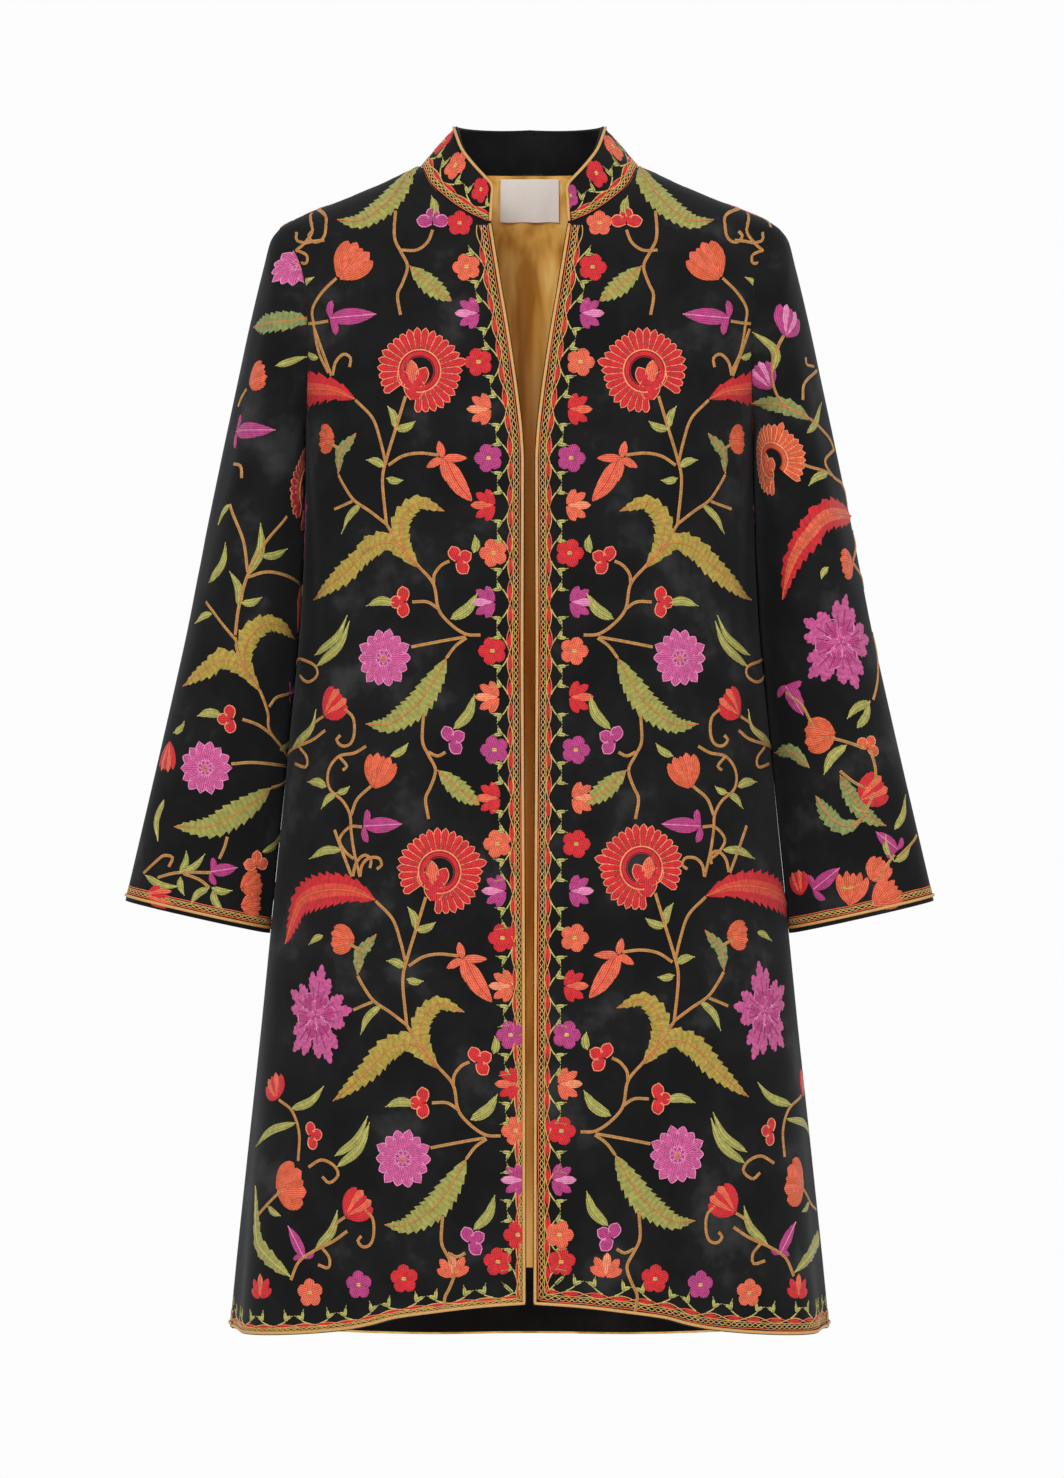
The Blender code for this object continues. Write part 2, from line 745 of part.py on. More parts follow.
def collar_cord(points, normals):
    """Sections of the cord up one end of the collar, along its top, and down its other end."""
    up, over, down = points[:-1, 0], points[-1], points[-2::-1, -1]
    up_line, up_inward = inset_line(up, points[:-1, 1], COLLAR_CORD_INSET)
    down_line, down_inward = inset_line(down, points[-2::-1, -2], COLLAR_CORD_INSET)
    over_line, over_inward = inset_line(over, points[-2], COLLAR_CORD_INSET)
    for corner, beside in ((0, 1), (-1, -2)):
        aside, aside_inward = inset_line(over[[corner]], over[[beside]], COLLAR_CORD_INSET)
        over_line[corner] += aside[0] - over[corner]
        over_inward[corner] = unit(over_inward[corner] + aside_inward[0])
    line = np.concatenate((up_line, over_line, down_line))
    inward = np.concatenate((up_inward, over_inward, down_inward))
    line_normals = np.concatenate((normals[:-1, 0], normals[-1], normals[-2::-1, -1]))
    return cord_sections(line, inward, line_normals)


def add_collar(places):
    outer, normals = collar_walls(places)
    add_wall("collar", outer, outer - normals * COLLAR_WALL, "black_velvet", halves=2)
    outside = COLLAR_WALL + SEAM_GAP
    inner = outer - normals * (outside + FACING_WALL)
    add_wall("collar_facing", outer - normals * outside, inner, "black_facing", halves=2)
    add_cord("collar_edge_cord", collar_cord(outer, normals))
    return normals[0][: len(places)]


def add_sleeves():
    """Both sleeves with their cuff cords. Returns the left armhole's shared normals."""
    outer, inner, normals = sleeve_walls()
    cuff, inward = inset_line(outer[-1], outer[-2], CUFF_CORD_INSET)
    cord = cord_sections(cuff, inward, normals[-1])
    for side, turned in (("left", lambda points: points), ("right", mirrored)):
        add_wall(f"sleeve_{side}", turned(outer), turned(inner), "black_velvet", closed=True)
        add_cord(f"cuff_{side}_cord", turned(cord), closed=True)
    return normals[0]


def add_fronts(places, armhole, neckline):
    points, normals = front_walls(places, armhole, neckline)
    inner = points - normals * PANEL_WALL
    cord = front_cord(points, normals)
    for side, turned in (("left", lambda grid: grid), ("right", mirrored)):
        add_wall(f"front_{side}", turned(points), turned(inner), "black_velvet")
        add_cord(f"front_{side}_edge_cord", turned(cord))


def add_back(places, armhole, neckline):
    points, normals = back_walls(places, armhole, neckline)
    add_wall("back", points, points - normals * PANEL_WALL, "black_velvet", halves=2)
    line, inward = inset_line(points[0], points[1], HEM_CORD_INSET)
    add_cord("back_hem_cord", cord_sections(line, inward, normals[0]))


def clear_scene():
    for thing in list(bpy.data.objects):
        bpy.data.objects.remove(thing)


def main():
    clear_scene()
    front, back = front_places(), back_places()
    places = neckline_places(front, back)
    armhole = add_sleeves()
    neckline = mirrored(add_collar(places))
    add_fronts(front, armhole, neckline)
    add_back(back, armhole, neckline)
    add_back_lining(back)
    add_label()


main()
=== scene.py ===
"""The velvet coat dressed: cloth shells, lining, needlework, materials, light and camera.

Metres, +Z up. The coat faces -Y and the wearer's left is +X. Heights count up from the side hem.
Needlework is drawn on flat plans: u runs round the coat or a sleeve and v runs up it. A plan's
place function turns (u, v, lift) into points of the cloth.
"""

import math

import bpy
import numpy as np
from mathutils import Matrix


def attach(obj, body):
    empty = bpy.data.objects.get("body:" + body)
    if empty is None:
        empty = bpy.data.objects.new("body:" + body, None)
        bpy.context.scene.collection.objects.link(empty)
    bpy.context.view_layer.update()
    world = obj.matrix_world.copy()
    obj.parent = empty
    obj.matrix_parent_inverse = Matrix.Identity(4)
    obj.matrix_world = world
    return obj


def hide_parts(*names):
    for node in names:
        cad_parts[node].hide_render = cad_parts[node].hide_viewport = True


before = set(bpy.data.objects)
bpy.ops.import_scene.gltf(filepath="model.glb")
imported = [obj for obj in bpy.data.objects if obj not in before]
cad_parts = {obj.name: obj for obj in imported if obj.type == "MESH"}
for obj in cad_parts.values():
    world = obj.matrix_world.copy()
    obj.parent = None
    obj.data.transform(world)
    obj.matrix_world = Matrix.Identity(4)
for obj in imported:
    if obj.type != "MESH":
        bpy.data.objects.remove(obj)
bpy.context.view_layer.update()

NECK_POINT_HEIGHT = 0.970
UNDERARM_HEIGHT = 0.743
SHOULDER_TIP_HEIGHT = 0.918
BACK_NECK_HEIGHT = 0.9675
TOP_ROW_HEIGHT = 0.961

# height, half_width
SHOULDER_LINE = (
    (0.9150, 0.2180),
    (0.9220, 0.2030),
    (0.9290, 0.1880),
    (0.9420, 0.1548),
    (0.9550, 0.1238),
    (0.9620, 0.1093),
    (0.9700, 0.0905),
    (0.9850, 0.0600),
)
SHOULDER_ROUNDING = 0.006

# height, half_width, front_depth, back_depth, squareness
BODY_SECTIONS = (
    (-0.03, 0.2500, 0.1500, 0.142, 2.30),
    (0.000, 0.2473, 0.1480, 0.140, 2.30),
    (0.150, 0.2330, 0.1410, 0.133, 2.32),
    (0.330, 0.2150, 0.1320, 0.122, 2.35),
    (0.500, 0.1985, 0.1220, 0.112, 2.40),
    (0.610, 0.1885, 0.1160, 0.106, 2.50),
    (0.700, 0.1852, 0.1120, 0.104, 2.60),
    (0.743, 0.1855, 0.1100, 0.104, 2.70),
    (0.800, 0.1940, 0.1040, 0.104, 2.80),
    (0.850, 0.2035, 0.0940, 0.100, 2.70),
    (0.890, 0.2085, 0.0800, 0.091, 2.50),
    (0.920, 0.2115, 0.0650, 0.078, 2.30),
    (0.945, 0.2140, 0.0520, 0.064, 2.20),
    (0.970, 0.2160, 0.0400, 0.050, 2.10),
)

# height, half_gap
FRONT_EDGES = (
    (0.000, 0.0026),
    (0.270, 0.0028),
    (0.450, 0.0036),
    (0.570, 0.0042),
    (0.719, 0.0038),
    (0.743, 0.0050),
    (0.774, 0.0084),
    (0.800, 0.0120),
    (0.837, 0.0177),
    (0.862, 0.0220),
    (0.9165, 0.0307),
)

# height, x
NECKLINE = (
    (0.9165, 0.0307),
    (0.9255, 0.0500),
    (0.9370, 0.0670),
    (0.9510, 0.0813),
    (0.9700, 0.0905),
)

# distance from the middle, front_height, back_height
HEM = (
    (0.000, 0.0380, -0.0125),
    (0.040, 0.0355, -0.0125),
    (0.080, 0.0308, -0.0122),
    (0.110, 0.0260, -0.0115),
    (0.130, 0.0200, -0.0107),
    (0.150, 0.0155, -0.0096),
    (0.184, 0.0110, -0.0060),
    (0.250, 0.0060, 0.0060),
)

FLUTE_DEPTH = 0.004
FLUTE_TOP_HEIGHT = 0.33
FLUTE_WAVES = 9
ARMHOLE_FRONT_REACH = 0.0575
ARMHOLE_BACK_REACH = 0.0640
SEAM_GAP = 0.0003

# outer_x, outer_height, inner_gap, inner_height, half_depth, middle_y
SLEEVE_RINGS = (
    (0.2071, 0.918, 0.0000, 0.743, 0.0605, 0.003),
    (0.2143, 0.909, 0.0004, 0.740, 0.0635, 0.004),
    (0.2212, 0.884, 0.0004, 0.733, 0.0670, 0.006),
    (0.2318, 0.840, 0.0004, 0.720, 0.0705, 0.009),
    (0.2436, 0.785, 0.0004, 0.697, 0.0730, 0.012),
    (0.2570, 0.722, 0.0004, 0.665, 0.0735, 0.013),
    (0.2708, 0.655, 0.0004, 0.620, 0.0700, 0.012),
    (0.2829, 0.592, 0.0004, 0.565, 0.0640, 0.009),
    (0.2986, 0.520, 0.0004, 0.498, 0.0560, 0.004),
    (0.3160, 0.443, 0.0004, 0.418, 0.0480, -0.003),
    (0.3349, 0.361, 0.0004, 0.334, 0.0410, -0.008),
)
LAST_RING = len(SLEEVE_RINGS) - 1
SLEEVE_SQUARENESS = 2.2
SLEEVE_BLEND_RINGS = 1.6

COLLAR_RISE = 0.0325
COLLAR_FRONT_DROP = 0.002
COLLAR_BACK_RISE = 0.0045
COLLAR_NARROWING = 0.327
COLLAR_SHALLOWING = 0.17
COLLAR_FADE = 0.045
COLLAR_CORNER = 0.02

PANEL_WALL = 0.002
COLLAR_WALL = 0.0015
FACING_WALL = 0.0012
LINING_WALL = 0.001
LABEL_WALL = 0.0008
SKIN_GAP = 0.0006
LINING_FOLDS = 6
LINING_FOLD_DEPTH = 0.006
LINING_FOLD_TOP_HEIGHT = 0.925
LINING_FOLD_FADE = 0.12
LINING_INSET = 0.003
LINING_RADIUS = 0.2
NARROW_FOLDS = 22
NARROW_FOLD_DEPTH = 0.0022
NARROW_FOLD_HEIGHT = 0.86
NARROW_FOLD_REACH = 0.09
NARROW_FOLD_SHARE = 0.12
NECK_INSET = 0.0015
HEM_FACING_SHARE = 0.075
HEM_INSET = 0.002
LABEL_WIDTH = 0.050
LABEL_TOP_DROP = 0.0003
LABEL_DROP = 0.034
LABEL_GAP = 0.0034
LABEL_WAVE_DEPTH = 0.0005
LABEL_WAVE_TURN = 14

CORD_RADIUS = 0.00125
CORD_FLATNESS = 0.75
CORD_LIFT = 0.0009
FRONT_CORD_START = -0.0112
FRONT_CORD_INSET = 0.0019
# The front cord turns its corner between these two places along it.
FRONT_CORD_CORNER = (0.864, 0.8675)
BACK_CORD_RISE = 0.0035
BACK_CORD_TURN = 0.003
CUFF_CORD_RINGS = 0.055
COLLAR_CORD_INSET = 0.0018
COLLAR_CORD_UP = 0.945

# How finely the cloth is divided.
FRONT_COLUMNS = 44
BACK_COLUMNS = 88
SKIRT_ROWS = 44
ARMHOLE_ROWS = 24
SHOULDER_ROWS = 12
SLEEVE_COLUMNS = 72
SLEEVE_ROWS = 60
COLLAR_ROWS = 8
COLLAR_COLUMNS = 160
LABEL_ROWS = 12
LABEL_COLUMNS = 28
CORD_SIDES = 8

SIDE = math.pi / 2
BACK_MIDDLE = math.pi
NORMAL_STEP = 0.002
LIFT_STEP = 0.001

# Soft creases of the body: where round from the front middle in degrees, height, tilt from
# upright in degrees, half length, half width, depth (below 0 is a ridge).
BODY_CREASES = (
    (52, 0.70, 24, 0.10, 0.014, 0.0030),
    (-52, 0.69, -22, 0.10, 0.014, 0.0032),
    (66, 0.62, 12, 0.14, 0.018, 0.0030),
    (-64, 0.60, -12, 0.14, 0.018, 0.0028),
    (38, 0.50, 4, 0.17, 0.022, 0.0024),
    (-40, 0.47, -5, 0.17, 0.022, 0.0026),
    (24, 0.30, -3, 0.16, 0.020, 0.0022),
    (-22, 0.33, 3, 0.16, 0.020, 0.0022),
    (58, 0.22, 5, 0.18, 0.026, 0.0030),
    (-56, 0.24, -5, 0.18, 0.026, 0.0030),
    (108, 0.26, 2, 0.18, 0.020, 0.0028),
    (-108, 0.24, -2, 0.18, 0.020, 0.0028),
    (118, 0.56, -10, 0.16, 0.020, 0.0030),
    (-118, 0.55, 10, 0.16, 0.020, 0.0030),
    (150, 0.40, -4, 0.22, 0.026, 0.0030),
    (-152, 0.42, 4, 0.22, 0.026, 0.0030),
    (174, 0.60, 0, 0.16, 0.020, 0.0022),
)
CREASE_RADIUS = 0.17
# A crease has a wider, shallower rise beside it.
CREASE_SPREAD = 2.4
CREASE_RISE = 0.35

# Soft creases of a sleeve: turn from its outer line in degrees, ring, tilt in degrees, half
# length, half width, depth.
SLEEVE_CREASES = (
    (138, 5.2, 52, 0.034, 0.011, 0.0030),
    (132, 6.4, 60, 0.036, 0.011, 0.0034),
    (118, 7.4, 64, 0.038, 0.010, 0.0028),
    (60, 6.8, -58, 0.050, 0.012, 0.0026),
    (100, 3.2, 12, 0.110, 0.016, 0.0030),
    (40, 4.6, 6, 0.120, 0.018, 0.0024),
    (215, 5.6, -56, 0.055, 0.012, 0.0030),
    (235, 6.8, -60, 0.050, 0.011, 0.0030),
    (290, 4.0, -8, 0.120, 0.016, 0.0026),
    (80, 8.8, 8, 0.060, 0.012, 0.0018),
)
SLEEVE_RADIUS = 0.068
SLEEVE_RING_LENGTH = 0.06


def tangents(places, values):
    """Slopes of the curve through a table's rows that never overshoots them."""
    steps = np.diff(places)
    slopes = np.diff(values) / steps
    found = np.zeros_like(values)
    found[0] = slopes[0]
    found[-1] = slopes[-1]
    for row in range(1, len(places) - 1):
        before, after = slopes[row - 1], slopes[row]
        if before * after > 0:
            first = 2 * steps[row] + steps[row - 1]
            second = steps[row] + 2 * steps[row - 1]
            found[row] = (first + second) / (first / before + second / after)
    return found


def smooth_table(rows):
    """A function that reads every column of a table, smoothly, at places in its first column."""
    table = np.array(rows, dtype=float)
    places, columns = table[:, 0], table[:, 1:].T
    slopes = [tangents(places, column) for column in columns]

    def read(place):
        place = np.asarray(place, dtype=float)
        row = np.clip(np.searchsorted(places, place) - 1, 0, len(places) - 2)
        step = places[row + 1] - places[row]
        share = (place - places[row]) / step
        inside = np.clip(share, 0, 1)
        beyond = (share - inside) * step
        found = []
        for column, slope in zip(columns, slopes):
            curve = (2 * inside**3 - 3 * inside**2 + 1) * column[row]
            curve = curve + (inside**3 - 2 * inside**2 + inside) * slope[row] * step
            curve = curve + (3 * inside**2 - 2 * inside**3) * column[row + 1]
            curve = curve + (inside**3 - inside**2) * slope[row + 1] * step
            edge = np.where(share < 0, slope[row], slope[row + 1])
            found.append(curve + edge * beyond)
        return found

    return read


read_section = smooth_table(BODY_SECTIONS)
read_shoulder = smooth_table(SHOULDER_LINE)
read_front_edge = smooth_table(FRONT_EDGES)
read_neckline = smooth_table(NECKLINE)
read_hem = smooth_table(HEM)
read_sleeve = smooth_table([(ring, *row) for ring, row in enumerate(SLEEVE_RINGS)])


def ease(share):
    """A smooth step from 0 to 1."""
    share = np.clip(share, 0, 1)
    return share * share * (3 - 2 * share)


def unit(vectors):
    return vectors / np.maximum(np.linalg.norm(vectors, axis=-1, keepdims=True), 1e-12)


def stacked(*parts):
    """Coordinates joined into points."""
    return np.stack(np.broadcast_arrays(*parts), axis=-1)


def body_section(height):
    side, front_depth, back_depth, squareness = read_section(height)
    shoulder = read_shoulder(height)[0]
    smaller, larger = np.minimum(side, shoulder), np.maximum(side, shoulder)
    rounding = SHOULDER_ROUNDING * np.log1p(np.exp((smaller - larger) / SHOULDER_ROUNDING))
    return smaller - rounding, front_depth, back_depth, squareness


def body_form(angle, height):
    """Points of the body's outer face, without creases."""
    half_width, front_depth, back_depth, squareness = body_section(height)
    across, along = np.sin(angle), np.cos(angle)
    reach = (np.abs(across) ** squareness + np.abs(along) ** squareness) ** (1 / squareness)
    depth = np.where(along > 0, front_depth, back_depth)
    fade = ease((FLUTE_TOP_HEIGHT - height) / FLUTE_TOP_HEIGHT)
    flute = FLUTE_DEPTH * fade * np.cos(FLUTE_WAVES * (np.abs(angle) - BACK_MIDDLE))
    x = half_width * across / reach + flute * across
    y = -depth * along / reach - flute * along
    return stacked(x, y, height - NECK_POINT_HEIGHT)


def form_normals(form, first, second):
    """Outward normals of a form, from how it runs round and up."""
    around = form(first + NORMAL_STEP, second) - form(first - NORMAL_STEP, second)
    upward = form(first, second + NORMAL_STEP) - form(first, second - NORMAL_STEP)
    return unit(np.cross(around, upward))


def crease_depth(creases, around, along, radius, length):
    """How far the cloth sinks at each place, for a table of creases."""
    depth = np.zeros(np.broadcast(around, along).shape)
    for turn, place, tilt, half_length, half_width, deep in creases:
        turned = (around - math.radians(turn) + math.pi) % (2 * math.pi) - math.pi
        across, up = turned * radius, (along - place) * length
        lean = math.radians(tilt)
        run = up * math.cos(lean) + across * math.sin(lean)
        aside = across * math.cos(lean) - up * math.sin(lean)
        bell = np.exp(-((run / half_length) ** 2) - (aside / half_width) ** 2)
        beside = np.exp(-((run / half_length) ** 2) - (aside / half_width / CREASE_SPREAD) ** 2)
        depth = depth + deep * (bell - CREASE_RISE * beside)
    return depth


def body_skin(angle, height, lift):
    """Points of the creased body, a lift out from the cloth's outer face."""
    crease = crease_depth(BODY_CREASES, angle, height, CREASE_RADIUS, 1.0)
    normals = form_normals(body_form, angle, height)
    return body_form(angle, height) + normals * (lift - crease)[..., None]


def angle_at_x(x, height):
    """The angle of the front point that is this far from the middle."""
    half_width, _, _, squareness = body_section(height)
    across = np.clip(x / half_width, 0, 1)
    along = (1 - across**squareness) ** (1 / squareness)
    return np.arctan2(across, along)


def angle_at_y(y, height):
    """The angle of the point on the wearer's left that is this far forwards (y < 0) or back."""
    _, front_depth, back_depth, squareness = body_section(height)
    along = np.clip(np.abs(y) / np.where(y < 0, front_depth, back_depth), 0, 1)
    across = (1 - along**squareness) ** (1 / squareness)
    front_angle = np.arctan2(across, along)
    return np.where(y < 0, front_angle, BACK_MIDDLE - front_angle)


def front_edge_angle(height):
    return angle_at_x(read_front_edge(height)[0], height)


def hem_height(angle):
    x = np.abs(body_form(angle, 0.0)[..., 0])
    front, back = read_hem(x)
    return np.where(np.cos(angle) > 0, front, back)


def armhole_place(turn, side):
    """The (angle, height) of the armhole: turn 0 is its top, and side -1 its front half."""
    middle = (SHOULDER_TIP_HEIGHT + UNDERARM_HEIGHT) / 2
    radius = (SHOULDER_TIP_HEIGHT - UNDERARM_HEIGHT) / 2
    reach = np.where(np.asarray(side) < 0, ARMHOLE_FRONT_REACH, ARMHOLE_BACK_REACH)
    seam = SEAM_GAP / 2
    height = middle + radius * np.cos(turn)
    y = side * (seam + (reach - seam) * np.sin(turn))
    return stacked(angle_at_y(y, height), height)


def side_place(height, side):
    """The (angle, height) of the side seam or the shoulder seam, half a seam gap off it."""
    return np.array((float(angle_at_y(side * SEAM_GAP / 2, height)), height))


def neckline_place(height):
    return np.array((float(angle_at_x(read_neckline(height)[0], height)), height))


def spread(start, end, columns):
    """Places spaced evenly from one (angle, height) to another."""
    shares = np.linspace(0, 1, columns + 1)[:, None]
    return start + (end - start) * shares


def skirt_row(share, middle_angle, side, columns):
    """A row a share of the way up from the hem to the underarm."""
    side_angle = side_place(share * UNDERARM_HEIGHT, side)[0]
    angles = np.linspace(middle_angle, side_angle, columns + 1)
    hem = hem_height(angles)
    return stacked(angles, hem + share * (UNDERARM_HEIGHT - hem))


def front_places():
    """Rows of (angle, height) on the wearer's left front, from the front edge to the side."""
    rows = []
    for share in np.linspace(0, 1, SKIRT_ROWS + 1):
        rise = share * (UNDERARM_HEIGHT - HEM[0][1]) + HEM[0][1]
        rows.append(skirt_row(share, float(front_edge_angle(rise)), -1, FRONT_COLUMNS))
    neck_start = NECKLINE[0][0]
    for step in range(1, ARMHOLE_ROWS + 1):
        share = step / ARMHOLE_ROWS
        height = UNDERARM_HEIGHT + (neck_start - UNDERARM_HEIGHT) * share
        middle = np.array((float(front_edge_angle(height)), height))
        rows.append(spread(middle, armhole_place(math.pi * (1 - share), -1), FRONT_COLUMNS))
    for step in range(1, SHOULDER_ROWS):
        share = step / SHOULDER_ROWS
        middle = neckline_place(neck_start + (TOP_ROW_HEIGHT - neck_start) * share)
        height = SHOULDER_TIP_HEIGHT + (NECK_POINT_HEIGHT - SHOULDER_TIP_HEIGHT) * share
        rows.append(spread(middle, side_place(height, -1), FRONT_COLUMNS))
    heights = np.linspace(TOP_ROW_HEIGHT, NECK_POINT_HEIGHT, FRONT_COLUMNS + 1)[:-1]
    last = [neckline_place(height) for height in heights]
    rows.append(np.array([*last, side_place(NECK_POINT_HEIGHT, -1)]))
    return np.array(rows)


def back_neck_height(angle):
    """The back neckline, from the neck point down to the middle."""
    share = ease((angle - SIDE) / (BACK_MIDDLE - SIDE))
    return NECK_POINT_HEIGHT + (BACK_NECK_HEIGHT - NECK_POINT_HEIGHT) * share


def back_places():
    """Rows of (angle, height) on the back, from the wearer's left side round to the right."""
    half = BACK_COLUMNS // 2
    rows = [skirt_row(share, BACK_MIDDLE, 1, half) for share in skirt_shares()]
    for step in range(1, ARMHOLE_ROWS + 1):
        share = step / ARMHOLE_ROWS
        height = UNDERARM_HEIGHT + (SHOULDER_TIP_HEIGHT - UNDERARM_HEIGHT) * share
        middle = np.array((BACK_MIDDLE, height))
        rows.append(spread(middle, armhole_place(math.pi * (1 - share), 1), half))
    for step in range(1, SHOULDER_ROWS):
        share = step / SHOULDER_ROWS
        middle_height = SHOULDER_TIP_HEIGHT + (BACK_NECK_HEIGHT - SHOULDER_TIP_HEIGHT) * share
        height = SHOULDER_TIP_HEIGHT + (NECK_POINT_HEIGHT - SHOULDER_TIP_HEIGHT) * share
        middle = np.array((BACK_MIDDLE, middle_height))
        rows.append(spread(middle, side_place(height, 1), half))
    angles = np.linspace(BACK_MIDDLE, side_place(NECK_POINT_HEIGHT, 1)[0], half + 1)
    rows.append(stacked(angles, back_neck_height(angles)))
    left = np.array(rows)
    right = left[:, 1:].copy()
    right[..., 0] = 2 * BACK_MIDDLE - right[..., 0]
    return np.concatenate((left[:, ::-1], right), axis=1)


def skirt_shares():
    """The hem, the top of the hem facing, then even steps up to the underarm."""
    return [0.0, *np.linspace(HEM_FACING_SHARE, 1.0, SKIRT_ROWS)]


def armhole_form(turn):
    """Points of the left armhole at turns from its top over the front."""
    turn = turn % (2 * math.pi)
    front = turn <= math.pi
    place = armhole_place(np.where(front, turn, 2 * math.pi - turn), np.where(front, -1, 1))
    return body_form(place[..., 0], place[..., 1])


def plain_sleeve(turn, ring):
    outer_x, outer_height, inner_gap, inner_height, half_depth, middle_y = read_sleeve(ring)
    inner_x = body_section(inner_height)[0] + inner_gap
    along, across = np.cos(turn), np.sin(turn)
    reach = np.abs(along) ** SLEEVE_SQUARENESS + np.abs(across) ** SLEEVE_SQUARENESS
    reach = reach ** (1 / SLEEVE_SQUARENESS)
    x = (outer_x + inner_x) / 2 + (outer_x - inner_x) / 2 * along / reach
    height = (outer_height + inner_height) / 2 + (outer_height - inner_height) / 2 * along / reach
    return stacked(x, middle_y - half_depth * across / reach, height - NECK_POINT_HEIGHT)


def sleeve_form(turn, ring):
    """Points of the left sleeve. Turn 0 is its outer line, and a quarter turn its front."""
    shift = armhole_form(turn) - plain_sleeve(turn, np.zeros_like(ring + turn))
    fade = ease(1 - ring / SLEEVE_BLEND_RINGS)
    return plain_sleeve(turn, ring) + shift * np.asarray(fade)[..., None]


def sleeve_skin(turn, ring, lift):
    crease = crease_depth(SLEEVE_CREASES, turn, ring, SLEEVE_RADIUS, -SLEEVE_RING_LENGTH)
    crease = crease * ease(ring / 1.5) * ease((LAST_RING - ring) / 1.2)
    normals = form_normals(sleeve_form, turn, ring)
    return sleeve_form(turn, ring) + normals * (lift - crease)[..., None]


def neckline_points():
    """Base points of the collar's left half, from the front edge to the back middle."""
    heights = np.linspace(NECKLINE[0][0], NECK_POINT_HEIGHT, 70)[:-1]
    front = stacked(angle_at_x(read_neckline(heights)[0], heights), heights)
    angles = np.linspace(SIDE, BACK_MIDDLE, 60)
    back = stacked(angles, back_neck_height(angles))
    places = np.concatenate((front, back))
    return body_form(places[:, 0], places[:, 1])


def run_lengths(points):
    """How far along a line of points each one is."""
    steps = np.linalg.norm(np.diff(points, axis=0), axis=1)
    return np.concatenate(([0.0], np.cumsum(steps)))


COLLAR_BASE = neckline_points()
COLLAR_RUN = run_lengths(COLLAR_BASE)
COLLAR_HALF = COLLAR_RUN[-1]


def collar_form(run, up):
    """Collar points: run is from the back middle, above 0 on the left, and up a share of 0 to 1."""
    from_front = COLLAR_HALF - np.abs(run)
    base = [np.interp(from_front, COLLAR_RUN, COLLAR_BASE[:, axis]) for axis in range(3)]
    share = np.clip(from_front / COLLAR_HALF, 0, 1)
    fade = 1 - np.exp(-share / COLLAR_FADE)
    x = base[0] * (1 - COLLAR_NARROWING * fade * up)
    y = base[1] * (1 - COLLAR_SHALLOWING * up)
    rise = COLLAR_RISE - COLLAR_FRONT_DROP * np.exp(-share / COLLAR_CORNER)
    rise = rise + COLLAR_BACK_RISE * share**2
    side = np.where(run < 0, -1.0, 1.0)
    return stacked(x * side, y, base[2] + rise * up)


def collar_skin(run, up, lift):
    """Points a lift out from the collar's outer face."""
    step = 0.001
    run = np.clip(run, -COLLAR_HALF + step, COLLAR_HALF - step)
    around = collar_form(run - step, up) - collar_form(run + step, up)
    upward = collar_form(run, up + 0.05) - collar_form(run, up - 0.05)
    return collar_form(run, up) + unit(np.cross(around, upward)) * np.asarray(lift)[..., None]


# Cloth

MIRROR = np.array((-1.0, 1.0, 1.0))
MERGE_DISTANCE = 1e-6
SHARP_EDGE = math.radians(50)


def add_grid(name, points):
    """A mesh of a grid of points whose columns run round and whose rows run up."""
    rows, columns = points.shape[:2]
    bpy.ops.mesh.primitive_grid_add(x_subdivisions=columns - 1, y_subdivisions=rows - 1, size=1)
    piece = bpy.context.object
    piece.name = name
    piece.data.name = name
    piece.data.vertices.foreach_set("co", points.reshape(-1))
    return piece


def stand_for(piece, node):
    """Puts a piece on the body in the place of one of its solids."""
    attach(piece, "root")
    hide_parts(node)
    return piece


def add_shell(name, node, outer, thickness, materials, closed=False):
    """A cloth shell from a grid of outer points."""
    piece = add_grid(name, outer)
    if closed:
        bpy.ops.object.mode_set(mode="EDIT")
        bpy.ops.mesh.select_all(action="SELECT")
        bpy.ops.mesh.remove_doubles(threshold=MERGE_DISTANCE)
        bpy.ops.object.mode_set(mode="OBJECT")
    for material in materials:
        piece.data.materials.append(material)
    solid = piece.modifiers.new("Cloth", "SOLIDIFY")
    solid.thickness = thickness
    solid.offset = -1
    solid.material_offset = min(1, len(materials) - 1)
    solid.material_offset_rim = min(2, len(materials) - 1)
    bpy.ops.object.modifier_apply(modifier=solid.name)
    piece.data.shade_smooth()
    piece.data.set_sharp_from_angle(angle=SHARP_EDGE)
    return stand_for(piece, node)


def grid_of(places):
    return body_skin(places[..., 0], places[..., 1], np.zeros(places.shape[:2]))


# Plans for needlework

PLAN_HEIGHTS = np.linspace(-0.05, 0.985, 208)
PLAN_ARCS = np.linspace(0, 0.42, 211)
PLAN_ANGLES = np.linspace(0, 0.62 * math.pi, 260)
HEIGHT_STEP = PLAN_HEIGHTS[1] - PLAN_HEIGHTS[0]
ARC_STEP = PLAN_ARCS[1]
ANGLE_STEP = PLAN_ANGLES[1]
EDGE_MARGIN = 0.0012
LOWEST_HEIGHT = -0.02
# A point that a panel's edge moves by more than this lies off the panel.
OFF_PANEL = 1e-3


def look_up(table, row, column):
    """Values of a table between its rows and columns."""
    row = np.clip(row, 0, table.shape[0] - 1.001)
    column = np.clip(column, 0, table.shape[1] - 1.001)
    r, c = row.astype(int), column.astype(int)
    down, right = row - r, column - c
    near = table[r, c] * (1 - right) + table[r, c + 1] * right
    far = table[r + 1, c] * (1 - right) + table[r + 1, c + 1] * right
    return near * (1 - down) + far * down


